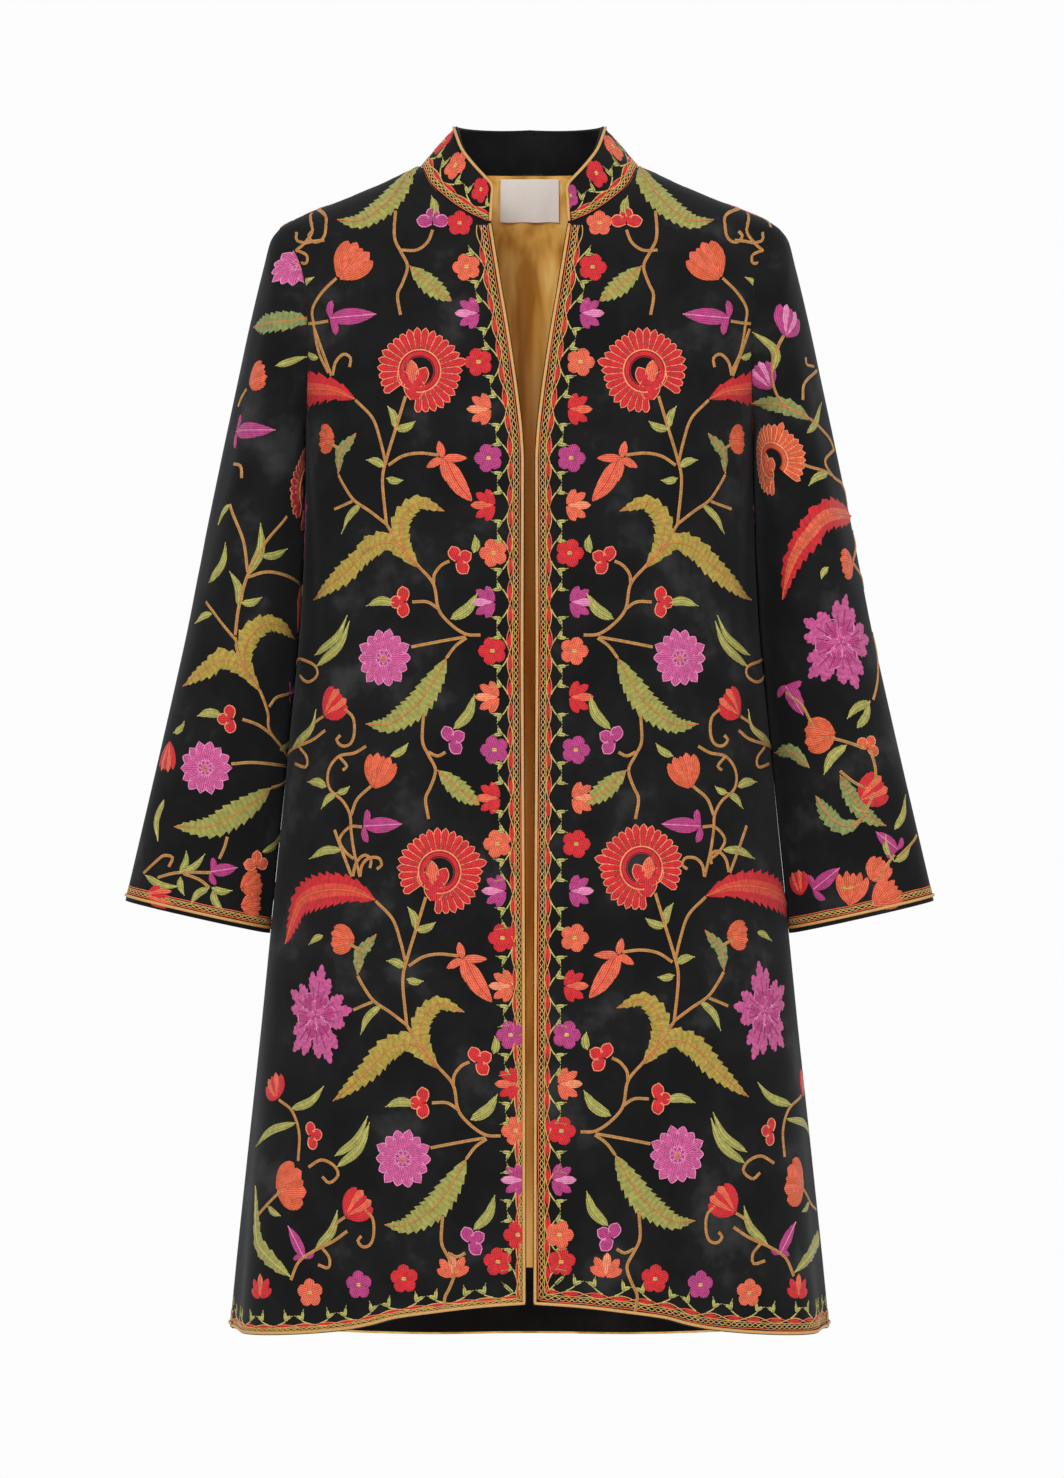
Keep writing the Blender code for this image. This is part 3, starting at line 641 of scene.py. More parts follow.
def body_tables(start, direction):
    """Arc lengths by (height, angle), and angles by (height, arc length), from one middle."""
    around = start + direction * PLAN_ANGLES
    points = body_form(around[None, :], PLAN_HEIGHTS[:, None])
    steps = np.linalg.norm(np.diff(points[..., :2], axis=1), axis=2)
    arcs = np.concatenate((np.zeros((len(steps), 1)), np.cumsum(steps, axis=1)), axis=1)
    angles = np.array([np.interp(PLAN_ARCS, row, PLAN_ANGLES) for row in arcs])
    return arcs, angles


FRONT_ARCS, FRONT_ANGLES = body_tables(0.0, 1)
BACK_ARCS, BACK_ANGLES = body_tables(BACK_MIDDLE, -1)


def height_row(height):
    return (height - PLAN_HEIGHTS[0]) / HEIGHT_STEP


def armhole_reach(height, reach):
    """How far from the side the armhole runs at a height."""
    middle = (SHOULDER_TIP_HEIGHT + UNDERARM_HEIGHT) / 2
    radius = (SHOULDER_TIP_HEIGHT - UNDERARM_HEIGHT) / 2
    share = np.clip((height - middle) / radius, -1, 1)
    return reach * np.sqrt(1 - share**2) + EDGE_MARGIN


def front_place(side):
    """Places needlework on a front. Side is 1 for the wearer's left and -1 for the right."""

    def place(u, v, lift):
        height = np.clip(v, LOWEST_HEIGHT, NECK_POINT_HEIGHT - 0.001)
        angle = look_up(FRONT_ANGLES, height_row(height), np.maximum(u, 0) / ARC_STEP)
        opening = read_front_edge(np.minimum(height, NECKLINE[0][0]))[0]
        neck = read_neckline(np.maximum(height, NECKLINE[0][0]))[0]
        edge = np.where(height > NECKLINE[0][0], neck, opening) + EDGE_MARGIN
        low = angle_at_x(edge, height)
        high = angle_at_y(-armhole_reach(height, ARMHOLE_FRONT_REACH), height)
        kept = np.clip(angle, low, np.maximum(high, low))
        kept_height = np.maximum(height, hem_height(kept) + EDGE_MARGIN)
        outside = (np.abs(kept - angle) > OFF_PANEL) | (np.abs(kept_height - v) > OFF_PANEL)
        return body_skin(side * kept, kept_height, lift), outside

    return place


def back_place(side):
    """Places needlework on half of the back, with u measured from the back middle."""

    def place(u, v, lift):
        angle = look_up(BACK_ANGLES, height_row(v), np.abs(u) / ARC_STEP)
        around = BACK_MIDDLE - angle
        height = np.clip(v, LOWEST_HEIGHT, back_neck_height(around) - EDGE_MARGIN)
        high = BACK_MIDDLE - angle_at_y(armhole_reach(height, ARMHOLE_BACK_REACH), height)
        kept = np.clip(np.where(u < 0, 0.0, angle), 0, high)
        kept_height = np.maximum(height, hem_height(BACK_MIDDLE - kept) + EDGE_MARGIN)
        outside = (np.abs(kept - angle) > OFF_PANEL) | (np.abs(kept_height - v) > OFF_PANEL)
        return body_skin(side * (BACK_MIDDLE - kept), kept_height, lift), outside

    return place


SLEEVE_LEAN = math.radians(8.73)
SLEEVE_AXIS = np.array((-math.sin(SLEEVE_LEAN), 0.0, math.cos(SLEEVE_LEAN)))
SLEEVE_TURNS = np.linspace(-math.pi, math.pi, 181)
SLEEVE_FINE_RINGS = np.linspace(0, LAST_RING, 240)
SLEEVE_LEVELS = np.linspace(-0.68, -0.05, 211)
SLEEVE_ARCS = np.linspace(-0.30, 0.30, 241)
LEVEL_STEP = SLEEVE_LEVELS[1] - SLEEVE_LEVELS[0]
SLEEVE_ARC_STEP = SLEEVE_ARCS[1] - SLEEVE_ARCS[0]
TURN_STEP = SLEEVE_TURNS[1] - SLEEVE_TURNS[0]


def sleeve_tables():
    """By (level, turn): arc length; by (level, arc length): turn and ring."""
    points = sleeve_form(SLEEVE_TURNS[None, :], SLEEVE_FINE_RINGS[:, None])
    levels = points @ SLEEVE_AXIS
    rings = np.empty((len(SLEEVE_LEVELS), len(SLEEVE_TURNS)))
    for column in range(len(SLEEVE_TURNS)):
        rings[:, column] = np.interp(
            SLEEVE_LEVELS, levels[::-1, column], SLEEVE_FINE_RINGS[::-1]
        )
    cut = sleeve_form(np.broadcast_to(SLEEVE_TURNS, rings.shape), rings)
    steps = np.linalg.norm(np.diff(cut, axis=1), axis=2)
    arcs = np.concatenate((np.zeros((len(steps), 1)), np.cumsum(steps, axis=1)), axis=1)
    arcs = arcs - arcs[:, [len(SLEEVE_TURNS) // 2]]
    turns = np.array([np.interp(SLEEVE_ARCS, row, SLEEVE_TURNS) for row in arcs])
    found = [np.interp(turn, SLEEVE_TURNS, ring) for turn, ring in zip(turns, rings)]
    return arcs, turns, np.array(found)


SLEEVE_ARC_TABLE, SLEEVE_TURN_TABLE, SLEEVE_RING_TABLE = sleeve_tables()


def sleeve_place(side, facing):
    """Places needlework on the front (facing 1) or back (facing -1) half of a sleeve."""
    mirror = np.array((side, 1.0, 1.0))

    def place(u, v, lift):
        row = (v - SLEEVE_LEVELS[0]) / LEVEL_STEP
        column = (facing * np.maximum(u, 0.0008) - SLEEVE_ARCS[0]) / SLEEVE_ARC_STEP
        turn = look_up(SLEEVE_TURN_TABLE, row, column)
        ring = look_up(SLEEVE_RING_TABLE, row, column)
        kept = np.clip(ring, 0.02, LAST_RING - 0.02)
        outside = (u < 0) | (np.abs(turn) > math.pi - 0.02) | (np.abs(kept - ring) > 1e-6)
        return sleeve_skin(turn, kept, lift) * mirror, outside

    return place


def collar_place(run, up, lift):
    """Places needlework on the collar: up is in metres."""
    rim = 0.03
    share = np.clip(up / COLLAR_RISE, rim, 1 - rim)
    kept = np.clip(run, -COLLAR_HALF + EDGE_MARGIN, COLLAR_HALF - EDGE_MARGIN)
    outside = (np.abs(kept - run) > 1e-4) | (np.abs(share - up / COLLAR_RISE) > rim)
    return collar_skin(kept, share, lift), outside


# Where the photo's pixels lie. All are of its left half, or are mirrored into it.
PIXEL = 0.00083
MIDDLE_PX = 527
LEVEL_PX = 739
CAMERA_DISTANCE = 5.0
CAMERA_HEIGHT = 0.4947
CAMERA_X = 0.002
CAMERA_LENS = 146.7
CAMERA_SENSOR = 36
FRONT_DEPTH = 0.13
SLEEVE_DEPTH = 0.06
# Both are nearer the camera than the photo's plane, which makes a pixel smaller there.
FRONT_NEARNESS = 0.975
SLEEVE_NEARNESS = 0.985


def front_paper(points):
    """(u, v) on a front of pixels of the photo."""
    pixels = np.atleast_2d(np.asarray(points, dtype=float))
    depth = np.full(len(pixels), -FRONT_DEPTH)
    for _ in range(3):
        scale = PIXEL * (CAMERA_DISTANCE + depth) / CAMERA_DISTANCE
        x = (MIDDLE_PX - pixels[:, 0]) * scale
        height = CAMERA_HEIGHT + (LEVEL_PX - pixels[:, 1]) * scale
        angle = angle_at_x(np.maximum(x, 0), height)
        depth = body_form(angle, height)[..., 1]
    arc = look_up(FRONT_ARCS, height_row(height), angle / ANGLE_STEP)
    beyond = np.maximum(x - body_section(height)[0], 0)
    return np.stack((arc + np.minimum(x, 0) + beyond, height), axis=1)


def ring_lines():
    """Outer and inner ends of fine sleeve rings as seen from the front."""
    table = read_sleeve(SLEEVE_FINE_RINGS)
    inner_x = body_section(table[3])[0] + table[2]
    return np.stack((table[0], table[1]), axis=1), np.stack((inner_x, table[3]), axis=1)


RING_OUTER, RING_INNER = ring_lines()


def sleeve_paper(points):
    """(u, v) on a sleeve's front half of pixels of the photo."""
    pixels = np.atleast_2d(np.asarray(points, dtype=float))
    scale = PIXEL * (CAMERA_DISTANCE - SLEEVE_DEPTH) / CAMERA_DISTANCE
    x = (MIDDLE_PX - pixels[:, 0]) * scale
    height = CAMERA_HEIGHT + (LEVEL_PX - pixels[:, 1]) * scale
    seen = np.stack((x, height), axis=1)
    found = []
    for point in seen:
        reach = RING_OUTER - RING_INNER
        away = point - RING_INNER
        miss = reach[:, 0] * away[:, 1] - reach[:, 1] * away[:, 0]
        ring = np.interp(0.0, miss, SLEEVE_FINE_RINGS) if miss[0] < miss[-1] else 0
        row = ring / LAST_RING * (len(SLEEVE_FINE_RINGS) - 1)
        low = min(int(row), len(SLEEVE_FINE_RINGS) - 2)
        share = row - low
        outer = RING_OUTER[low] * (1 - share) + RING_OUTER[low + 1] * share
        inner = RING_INNER[low] * (1 - share) + RING_INNER[low + 1] * share
        half = (outer - inner) / 2
        along = float((point - (outer + inner) / 2) @ half / (half @ half))
        inside = min(max(along, -1.0), 1.0)
        across = (1 - abs(inside) ** SLEEVE_SQUARENESS) ** (1 / SLEEVE_SQUARENESS)
        turn = np.array(math.atan2(across, inside))
        level = sleeve_form(turn, np.array(float(ring))) @ SLEEVE_AXIS
        row = (np.array(level) - SLEEVE_LEVELS[0]) / LEVEL_STEP
        arc = look_up(SLEEVE_ARC_TABLE, row, (turn - SLEEVE_TURNS[0]) / TURN_STEP)
        arc = arc - (along - inside) * np.linalg.norm(half)
        found.append((float(arc), float(level)))
    return np.array(found)


FRONT_TURN = np.array(((-1.0, 0.0), (0.0, -1.0))) * PIXEL * FRONT_NEARNESS
LEAN_ACROSS = (math.cos(SLEEVE_LEAN), math.sin(SLEEVE_LEAN))
LEAN_UP = (math.sin(SLEEVE_LEAN), -math.cos(SLEEVE_LEAN))
SLEEVE_TURN = np.array((LEAN_ACROSS, LEAN_UP)) * PIXEL * SLEEVE_NEARNESS

# Thread colours, linear.


def linear(red, green, blue):
    """A colour given as shown on screen, 0 to 255."""
    shares = np.array((red, green, blue)) / 255
    return tuple(((shares + 0.055) / 1.055) ** 2.4)


RED = linear(206, 24, 34)
DEEP_RED = linear(150, 16, 30)
VERMILION = linear(222, 70, 50)
CORAL = linear(226, 98, 66)
PALE_CORAL = linear(238, 140, 100)
ORANGE = linear(216, 90, 48)
MAGENTA = linear(178, 52, 120)
PINK = linear(224, 132, 176)
DEEP_MAGENTA = linear(140, 34, 92)
ROSE = linear(200, 82, 142)
MUSTARD = linear(176, 150, 60)
OLIVE = linear(160, 156, 76)
GREEN = linear(136, 144, 82)
LIME = linear(184, 176, 96)
STEM = linear(180, 130, 68)
RUST = linear(196, 112, 52)
GOLD = linear(205, 165, 85)

# How far a shape's edges lie under the cloth's face, and the width of one thread.
SUNK = 0.0002
FINE = 0.0009


def smooth_path(points, spacing):
    """A curve through points of a plan, at an even spacing."""
    points = np.asarray(points, dtype=float)
    if len(points) == 2:
        fine = points
    else:
        first, last = 2 * points[0] - points[1], 2 * points[-1] - points[-2]
        padded = np.concatenate(([first], points, [last]))
        share = np.linspace(0, 1, 9)[:-1, None]
        parts = []
        for a, b, c, d in zip(padded, padded[1:], padded[2:], padded[3:]):
            curve = 2 * b + (c - a) * share + (2 * a - 5 * b + 4 * c - d) * share**2
            parts.append((curve + (3 * b - a - 3 * c + d) * share**3) / 2)
        fine = np.concatenate((*parts, points[-1:]))
    run = run_lengths(fine)
    count = max(3, int(math.ceil(run[-1] / spacing)) + 1)
    even = np.linspace(0, run[-1], count)
    return np.stack([np.interp(even, run, fine[:, axis]) for axis in (0, 1)], axis=1)


def directions(path):
    """Unit tangents and left normals of a path."""
    along = unit(np.gradient(path, axis=0))
    return along, np.stack((-along[:, 1], along[:, 0]), axis=1)


class Needlework:
    """Collects stitched shapes on a plan and makes one mesh of them."""

    def __init__(self, place, flip):
        self.place = place
        self.flip = flip
        self.plane, self.lifts, self.colours, self.threads, self.faces = [], [], [], [], []
        self.count = 0

    def add_grid(self, plane, lifts, colour, threads):
        """A grid of plan points, with its lifts, colour and thread coordinates."""
        rows, columns = lifts.shape
        first = self.count + np.arange(rows * columns).reshape(rows, columns)
        corners = (first[:-1, :-1], first[1:, :-1], first[1:, 1:], first[:-1, 1:])
        self.faces.append(np.stack(corners, axis=-1).reshape(-1, 4))
        self.plane.append(plane.reshape(-1, 2))
        self.lifts.append(lifts.reshape(-1))
        shade = np.broadcast_to(np.asarray(colour), (rows, columns, 3))
        self.colours.append(shade.reshape(-1, 3))
        self.threads.append(threads.reshape(-1, 2))
        self.count += rows * columns

    def line(self, path, width, colour, height=0.0008, base=0.0, spacing=0.0028):
        """A couched line of stitches."""
        path = smooth_path(path, spacing)
        _, aside = directions(path)
        shape = np.array(((-1, 0.0), (-0.55, 0.8), (0.55, 0.8), (1, 0.0)))
        if width > 0.0025:
            shape = np.array(((-1, 0.0), (-0.7, 0.8), (0, 0.75), (0.7, 0.8), (1, 0.0)))
        across = shape[:, 0] * width / 2
        plane = path[:, None] + aside[:, None] * across[:, None]
        lifts = np.tile(shape[:, 1] * (height + SUNK) - SUNK + base, (len(path), 1))
        run = run_lengths(path)
        threads = stacked(across[None, :] + width / 2, run[:, None])
        self.add_grid(plane, lifts, colour, threads)

    def blade(
        self, path, widths, colour, dome=0.0009, teeth=0, slant=0.0, base=0.0, spacing=0.0035
    ):
        """A petal or leaf along a path. Widths give the half width at shares of its length.

        Returns its edge, from the foot up one side and down the other.
        """
        if teeth:
            spacing = run_lengths(np.asarray(path, dtype=float))[-1] / (teeth * 3)
        path = smooth_path(path, spacing)
        if len(path) < 6:
            path = smooth_path(path, run_lengths(path)[-1] / 6)
        along, aside = directions(path)
        shares = np.linspace(0, 1, len(path))
        half = np.array([widths(share) for share in shares])
        if teeth:
            half = half * (0.66 + 0.36 * ((shares * teeth) % 1.0))
        across = np.array((-1, -0.62, 0, 0.62, 1))
        reach = half[:, None] * across
        forward = slant * half[:, None] * np.abs(across)
        plane = path[:, None] + aside[:, None] * reach[..., None]
        plane = plane + along[:, None] * forward[..., None]
        swell = np.minimum(half / 0.003, 1)[:, None]
        lifts = dome * swell * (1 - np.abs(across) ** 2.4) - SUNK + base
        run = run_lengths(path)[:, None] + 0 * across
        if slant:
            threads = stacked(run - np.abs(reach) * 0.9, np.abs(reach))
        else:
            threads = stacked(reach + 0.02, run)
        self.add_grid(plane, lifts, colour, threads)
        return np.concatenate((plane[:, 0], plane[::-1, -1]))

    def build(self, name):
        """The mesh of all that was drawn, without the faces that lie wholly off the panel."""
        plane, lifts = np.concatenate(self.plane), np.concatenate(self.lifts)
        faces = np.concatenate(self.faces)
        points, outside = self.place(plane[:, 0], plane[:, 1], lifts)
        faces = faces[~outside[faces].all(axis=1)]
        if self.flip:
            faces = faces[:, ::-1]
        used, order = np.unique(faces, return_inverse=True)
        faces = order.reshape(faces.shape)
        data = bpy.data.meshes.new(name)
        data.from_pydata(points[used], [], faces)
        colours = np.concatenate(self.colours)[used]
        shades = data.color_attributes.new("thread", "FLOAT_COLOR", "POINT")
        full = np.concatenate((colours, np.ones((len(colours), 1))), axis=1)
        shades.data.foreach_set("color", full.astype(np.float32).reshape(-1))
        layer = data.uv_layers.new(name="UVMap")
        threads = np.concatenate(self.threads)[used][faces.reshape(-1)]
        layer.data.foreach_set("uv", threads.astype(np.float32).reshape(-1))
        data.shade_smooth()
        data.materials.append(THREAD)
        piece = bpy.data.objects.new(name, data)
        bpy.context.scene.collection.objects.link(piece)
        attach(piece, "root")
        return piece


# Shapes of petals and leaves: the half width at a share t of the length.


def petal_shape(wide, foot):
    def width(t):
        place = min(foot + (1 - foot) * t, 1) ** 1.35
        return wide * max(math.sin(math.pi * place), 0) ** 0.6

    return width


def leaf_shape(wide):
    return lambda t: wide * max(math.sin(math.pi * t**0.8), 0) ** 0.8 + 0.0004 * (1 - t)


def strap_shape(wide):
    return lambda t: wide * min(1, (t + 0.02) / 0.12, (1.02 - t) / 0.10) ** 0.6


def wedge_shape(foot, wide):
    return lambda t: (foot + (wide - foot) * t) * min(1, (1.0 - t) / 0.18 + 0.05) ** 0.5


class Pen:
    """Draws motifs, given in pixels, on a piece of needlework."""

    def __init__(self, work, paper, turn, offset=(0, 0), mirror=False, shift=(0.0, 0.0)):
        self.work, self.paper, self.turn = work, paper, turn
        self.offset, self.mirror, self.shift = np.array(offset), mirror, np.array(shift)

    def at(self, points):
        points = np.atleast_2d(np.asarray(points, dtype=float))
        if self.mirror:
            points = points * (-1, 1) + (2 * MIDDLE_PX, 0)
        return self.paper(points + self.offset) + self.shift

    def near(self, centre, offsets):
        """Plan points at pixel offsets from a centre, true in shape."""
        offsets = np.atleast_2d(np.asarray(offsets, dtype=float))
        if self.mirror:
            offsets = offsets * (-1, 1)
        return self.at(centre)[0] + offsets @ self.turn.T

    def stem(self, points, width=3.2):
        path = self.at(points)
        self.work.line(path, width * PIXEL * 1.05, STEM, height=0.0009)
        if len(points) > 3:
            self.work.line(path, 0.9 * PIXEL, RUST, height=0.0003, base=0.0006)

    def leaf(self, base, tip, width, colour=OLIVE, bend=0.12):
        base, tip = np.array(base, dtype=float), np.array(tip, dtype=float)
        aside = np.array((-(tip - base)[1], (tip - base)[0]))
        points = self.at((base, (base + tip) / 2 + aside * bend, tip))
        self.work.blade(points, leaf_shape(width * PIXEL / 2), colour)
        self.work.line(points, FINE, LIME, height=0.0003, base=0.0006)

    def toothed(self, points, half, colour=GREEN, rib=RUST, teeth=10):
        path = self.at(points)
        self.work.blade(path, leaf_shape(half * PIXEL), colour, teeth=teeth, slant=0.7)
        self.work.line(path, 0.0013, rib, height=0.0004, base=0.0007)

    def feather(self, points, half, first, second, rib, teeth=16):
        """A serrated blade of two colours with a rib."""
        path = self.at(points)
        shape = leaf_shape(half * PIXEL)
        self.work.blade(path, shape, second, teeth=teeth, slant=0.7)
        middle = lambda t: shape(t) * 0.34
        self.work.blade(path, middle, first, slant=0.7, dome=0.0005, base=0.0006)
        self.work.line(path, 0.0016, rib, height=0.0005, base=0.0011)

    def petal(self, centre, angle, near, far, wide, colour, edging=None, bend=0.0):
        """A rounded petal from a centre, in pixels and degrees counted from +x towards up."""
        turned = math.radians(angle)
        out = np.array((math.cos(turned), -math.sin(turned)))
        aside = np.array((-out[1], out[0])) * bend
        path = self.near(centre, (out * near, out * (near + far) / 2 + aside, out * far))
        edge = self.work.blade(path, petal_shape(wide * PIXEL / 2, 0.12), colour)
        if edging is not None:
            self.work.line(edge, 0.0010, edging, height=0.0005, base=0.0001)

    def fan(self, centre, radius, colour=RED, edging=PALE_CORAL, start=-98, sweep=313, count=27):
        """A fan flower: a ring of edged petals round a ring and a bud."""
        inner = radius * 0.49
        for petal in range(count):
            angle = math.radians(start + sweep * (petal + 0.5) / count)
            out = np.array((math.cos(angle), -math.sin(angle)))
            reach = radius * (1.12 if petal == count // 3 else 1.0 + 0.02 * math.sin(5 * angle))
            path = self.near(centre, (out * inner, out * (inner + reach) / 2, out * reach))
            step = math.radians(sweep) / count * PIXEL
            shape = wedge_shape(inner * step * 0.5, reach * step * 0.48)
            edge = self.work.blade(path, shape, colour, spacing=0.004)
            self.work.line(edge, FINE, edging, height=0.0004, base=0.0002, spacing=0.0035)
        rings = (
            (0.5, 1.7, edging, 0.0005),
            (0.42, 5.0, colour, 0.0),
            (0.34, 1.3, DEEP_RED, 0.0),
        )
        for ring, width, shade, base in rings:
            angles = np.radians(np.linspace(start, start + sweep, 40))
            circle = stacked(np.cos(angles), -np.sin(angles)) * radius * ring
            self.work.line(self.near(centre, circle), width * PIXEL, shade, base=base)
        foot = np.array((-0.12, 0.44)) * radius
        bulb = np.array(centre) + foot
        self.petal(bulb, 90, -10, 13, 21, colour, edging)
        for angle, reach, shade in ((62, 26, colour), (132, 25, colour), (98, 31, CORAL)):
            self.petal(bulb, angle, 2, reach * radius / 43, 13, shade, edging)

    def flower(self, centre, radius, colour, start=90, petals=5):
        """An open blossom seen from above."""
        for petal in range(petals):
            angle = start + 360 * petal / petals
            wide = 2.35 * radius * math.sin(math.pi / petals)
            self.petal(centre, angle, radius * 0.10, radius * 1.04, wide * 0.70, colour)
        dot = np.array(((-0.16, 0.0), (0.0, 0.01), (0.16, 0.0))) * radius
        shape = strap_shape(0.13 * radius * PIXEL)
        self.work.blade(self.near(centre, dot), shape, GOLD, base=0.0007)

    def half_flower(self, centre, radius, colour, inner, facing):
        """A blossom in profile, opening towards a direction in degrees."""
        turned = math.radians(facing)
        foot = np.array(centre) - 0.62 * radius * np.array((math.cos(turned), -math.sin(turned)))
        for lean, reach in ((-62, 1.3), (62, 1.3), (-33, 1.6), (33, 1.6)):
            self.petal(foot, facing + lean, 1, reach * radius, radius * 0.66, colour)
        self.petal(foot, facing, 1, 1.72 * radius, radius * 0.66, inner)

    def clover(self, centre, facing, radius=11.5, colour=RED, edging=PALE_CORAL):
        for lean in (-82, 0, 82):
            self.petal(centre, facing + lean, 0.5, radius * 1.25, radius * 0.98, colour, edging)

    def tulip(self, base, tip, width, colour, inner, spread_by=26):
        """A cup of petals from its base to its tip."""
        base, tip = np.array(base, dtype=float), np.array(tip, dtype=float)
        reach = np.linalg.norm(tip - base)
        facing = math.degrees(math.atan2(-(tip - base)[1], (tip - base)[0]))
        petals = (
            (-spread_by, 1.02, colour, 3),
            (spread_by, 1.02, colour, -3),
            (-spread_by / 2.2, 1.06, inner, 1),
            (spread_by / 2.2, 1.06, inner, -1),
            (0, 1.0, colour, 0),
        )
        for lean, share, shade, bend in petals:
            self.petal(base, facing + lean, 0, reach * share, width * 0.42, shade, bend=bend)

    def bud(self, base, tip, width, colour=MAGENTA, rib=PINK):
        """A pointed bud with two small lobes at its foot."""
        base, tip = np.array(base, dtype=float), np.array(tip, dtype=float)
        facing = math.degrees(math.atan2(-(tip - base)[1], (tip - base)[0]))
        for lean in (-78, 78):
            self.petal(base, facing + lean, 0, width * 1.05, width * 0.5, colour, bend=2)
        path = self.at((base, (base + tip) / 2, tip))
        self.work.blade(path, leaf_shape(width * PIXEL / 2), colour)
        self.work.line(path, FINE, rib, height=0.0004, base=0.0007)

    def rosette(self, centre, radius, colour=ROSE, edging=PINK, inner=MAGENTA):
        """A round flower of wedge petals with a ring of smaller ones."""
        count = 14
        for petal in range(count):
            angle = 360 * petal / count
            reach = radius * (1.0 + 0.04 * math.sin(petal * 2.3))
            self.petal(centre, angle, radius * 0.24, reach, radius * 0.40, colour, edging)
        for petal in range(8):
            angle = 20 + 45 * petal
            self.petal(centre, angle, radius * 0.04, radius * 0.30, radius * 0.20, inner, edging)
        dot = np.array(((-0.08, 0.0), (0.0, 0.01), (0.08, 0.0))) * radius
        shape = strap_shape(0.08 * radius * PIXEL)
        self.work.blade(self.near(centre, dot), shape, RUST, base=0.0009)

    def peony(self, centre, wide, tall, colour=ROSE, inner=MAGENTA, edging=PINK):
        """A full flower: groups of three serrated petals round a heart of edged ones."""
        for group in range(5):
            for lean, reach in ((-19, 0.84), (19, 0.88), (0, 1.03)):
                turned = math.radians(8 + 72 * group + lean)
                out = np.array((math.cos(turned) * wide, -math.sin(turned) * tall)) * reach
                path = self.near(centre, (out * 0.34, out * 0.66, out))
                self.work.blade(path, leaf_shape(wide * 0.19 * PIXEL), colour, teeth=4, slant=0.6)
                self.work.line(path[:2], FINE, DEEP_MAGENTA, height=0.0003, base=0.0008)
        rings = (
            (14, 6, 0.16, 0.60, 0.42, inner),
            (40, 5, 0.04, 0.36, 0.28, colour),
            (0, 3, 0.0, 0.18, 0.18, inner),
        )
        for start, count, near, far, broad, shade in rings:
            sizes = (wide * near, wide * far, wide * broad)
            for petal in range(count):
                self.petal(centre, start + 360 * petal / count, *sizes, shade, edging, bend=2)


# Motifs of one repeat on a front, in pixels.

FRONT_STEMS = (
    ((384, 524), (380, 481), (384, 459), (393, 429), (403, 396)),
    ((386, 465), (400, 456), (417, 453), (436, 455)),
    ((353, 400), (370, 418), (378, 441), (383, 462)),
    ((330, 375), (333, 362), (341, 354), (348, 358), (347, 367)),
    ((329, 376), (319, 349), (312, 329)),
    ((384, 524), (367, 511), (351, 500), (341, 486), (335, 475)),
    ((337, 449), (332, 446), (325, 442)),
    ((350, 501), (340, 505), (331, 509)),
    ((384, 524), (396, 543), (408, 556), (416, 566)),
    ((416, 566), (431, 584), (436, 609), (448, 624), (463, 634), (478, 635)),
    ((431, 583), (432, 574), (439, 565), (447, 561)),
    ((436, 609), (425, 602), (410, 602)),
    ((463, 637), (440, 641), (409, 647)),
    ((464, 638), (453, 646), (444, 658)),
    ((421, 715), (420, 741), (426, 755), (433, 770), (428, 787), (423, 799), (426, 819)),
    ((321, 716), (311, 723), (306, 732)),
    ((342, 709), (350, 718), (351, 734), (347, 744), (339, 746), (334, 740), (338, 735)),
)
VINE_STEMS = (
    ((363, 746), (351, 753), (337, 756), (328, 766), (325, 778), (328, 790), (340, 801),
     (347, 815), (348, 830), (351, 851), (357, 877)),
    ((337, 757), (344, 766), (340, 770)),
    ((348, 815), (354, 799), (368, 786)),
    ((359, 827), (347, 827), (337, 839), (342, 851), (351, 859)),
    ((357, 876), (359, 865), (366, 858), (376, 858), (379, 865), (374, 869)),
)
# base, tip, width
FRONT_LEAVES = (
    ((393, 429), (385, 406), 9),
    ((393, 429), (413, 421), 9),
    ((382, 467), (364, 460), 9),
    ((384, 478), (401, 480), 8),
    ((301, 435), (286, 444), 7),
    ((359, 504), (338, 534), 8),
    ((471, 553), (472, 535), 9),
    ((392, 603), (363, 606), 10),
    ((448, 619), (475, 593), 12),
    ((311, 655), (345, 615), 9),
)
VINE_LEAVES = (
    ((324, 787), (305, 782), 10),
    ((334, 793), (347, 786), 7),
    ((334, 793), (319, 809), 8),
    ((388, 756), (406, 743), 8),
    ((339, 850), (307, 859), 9),
)
# half width, teeth, colour, spine
FRONT_TOOTHED = (
    (8, 5, GREEN, ((335, 474), (337, 455), (344, 445), (354, 433))),
    (13, 11, MUSTARD, ((416, 568), (403, 550), (398, 531), (403, 514), (417, 503), (442, 511))),
    (15, 14, MUSTARD, ((416, 568), (401, 552), (388, 543), (366, 549), (344, 571), (326, 587),
                       (310, 600))),
    (16, 14, OLIVE, ((444, 658), (432, 680), (414, 705), (387, 724), (363, 724))),
)
SINGLE_TOOTHED = ((12, 7, OLIVE, ((435, 770), (456, 789), (477, 805))),)

# Stems, leaves and flowers near the side seam, as they lie in the photo's lowest repeat.
SIDE_GROUP_SHIFT = (20, 501)
SIDE_STEMS = (
    ((277, 1100), (289, 1111), (296, 1133), (295, 1161)),
    ((281, 1189), (268, 1204), (259, 1215)),
    ((305, 1167), (317, 1160), (329, 1165), (334, 1175), (325, 1183), (318, 1177)),
    ((288, 1280), (295, 1262), (309, 1251), (327, 1242), (343, 1231)),
    ((317, 1248), (324, 1258), (323, 1268), (313, 1265)),
)
SIDE_LEAVES = (
    ((288, 1109), (321, 1086), 10),
    ((293, 1123), (254, 1147), 9),
    ((268, 1206), (280, 1216), 7),
    ((333, 1167), (367, 1122), 10),
    ((311, 1248), (333, 1210), 10),
)

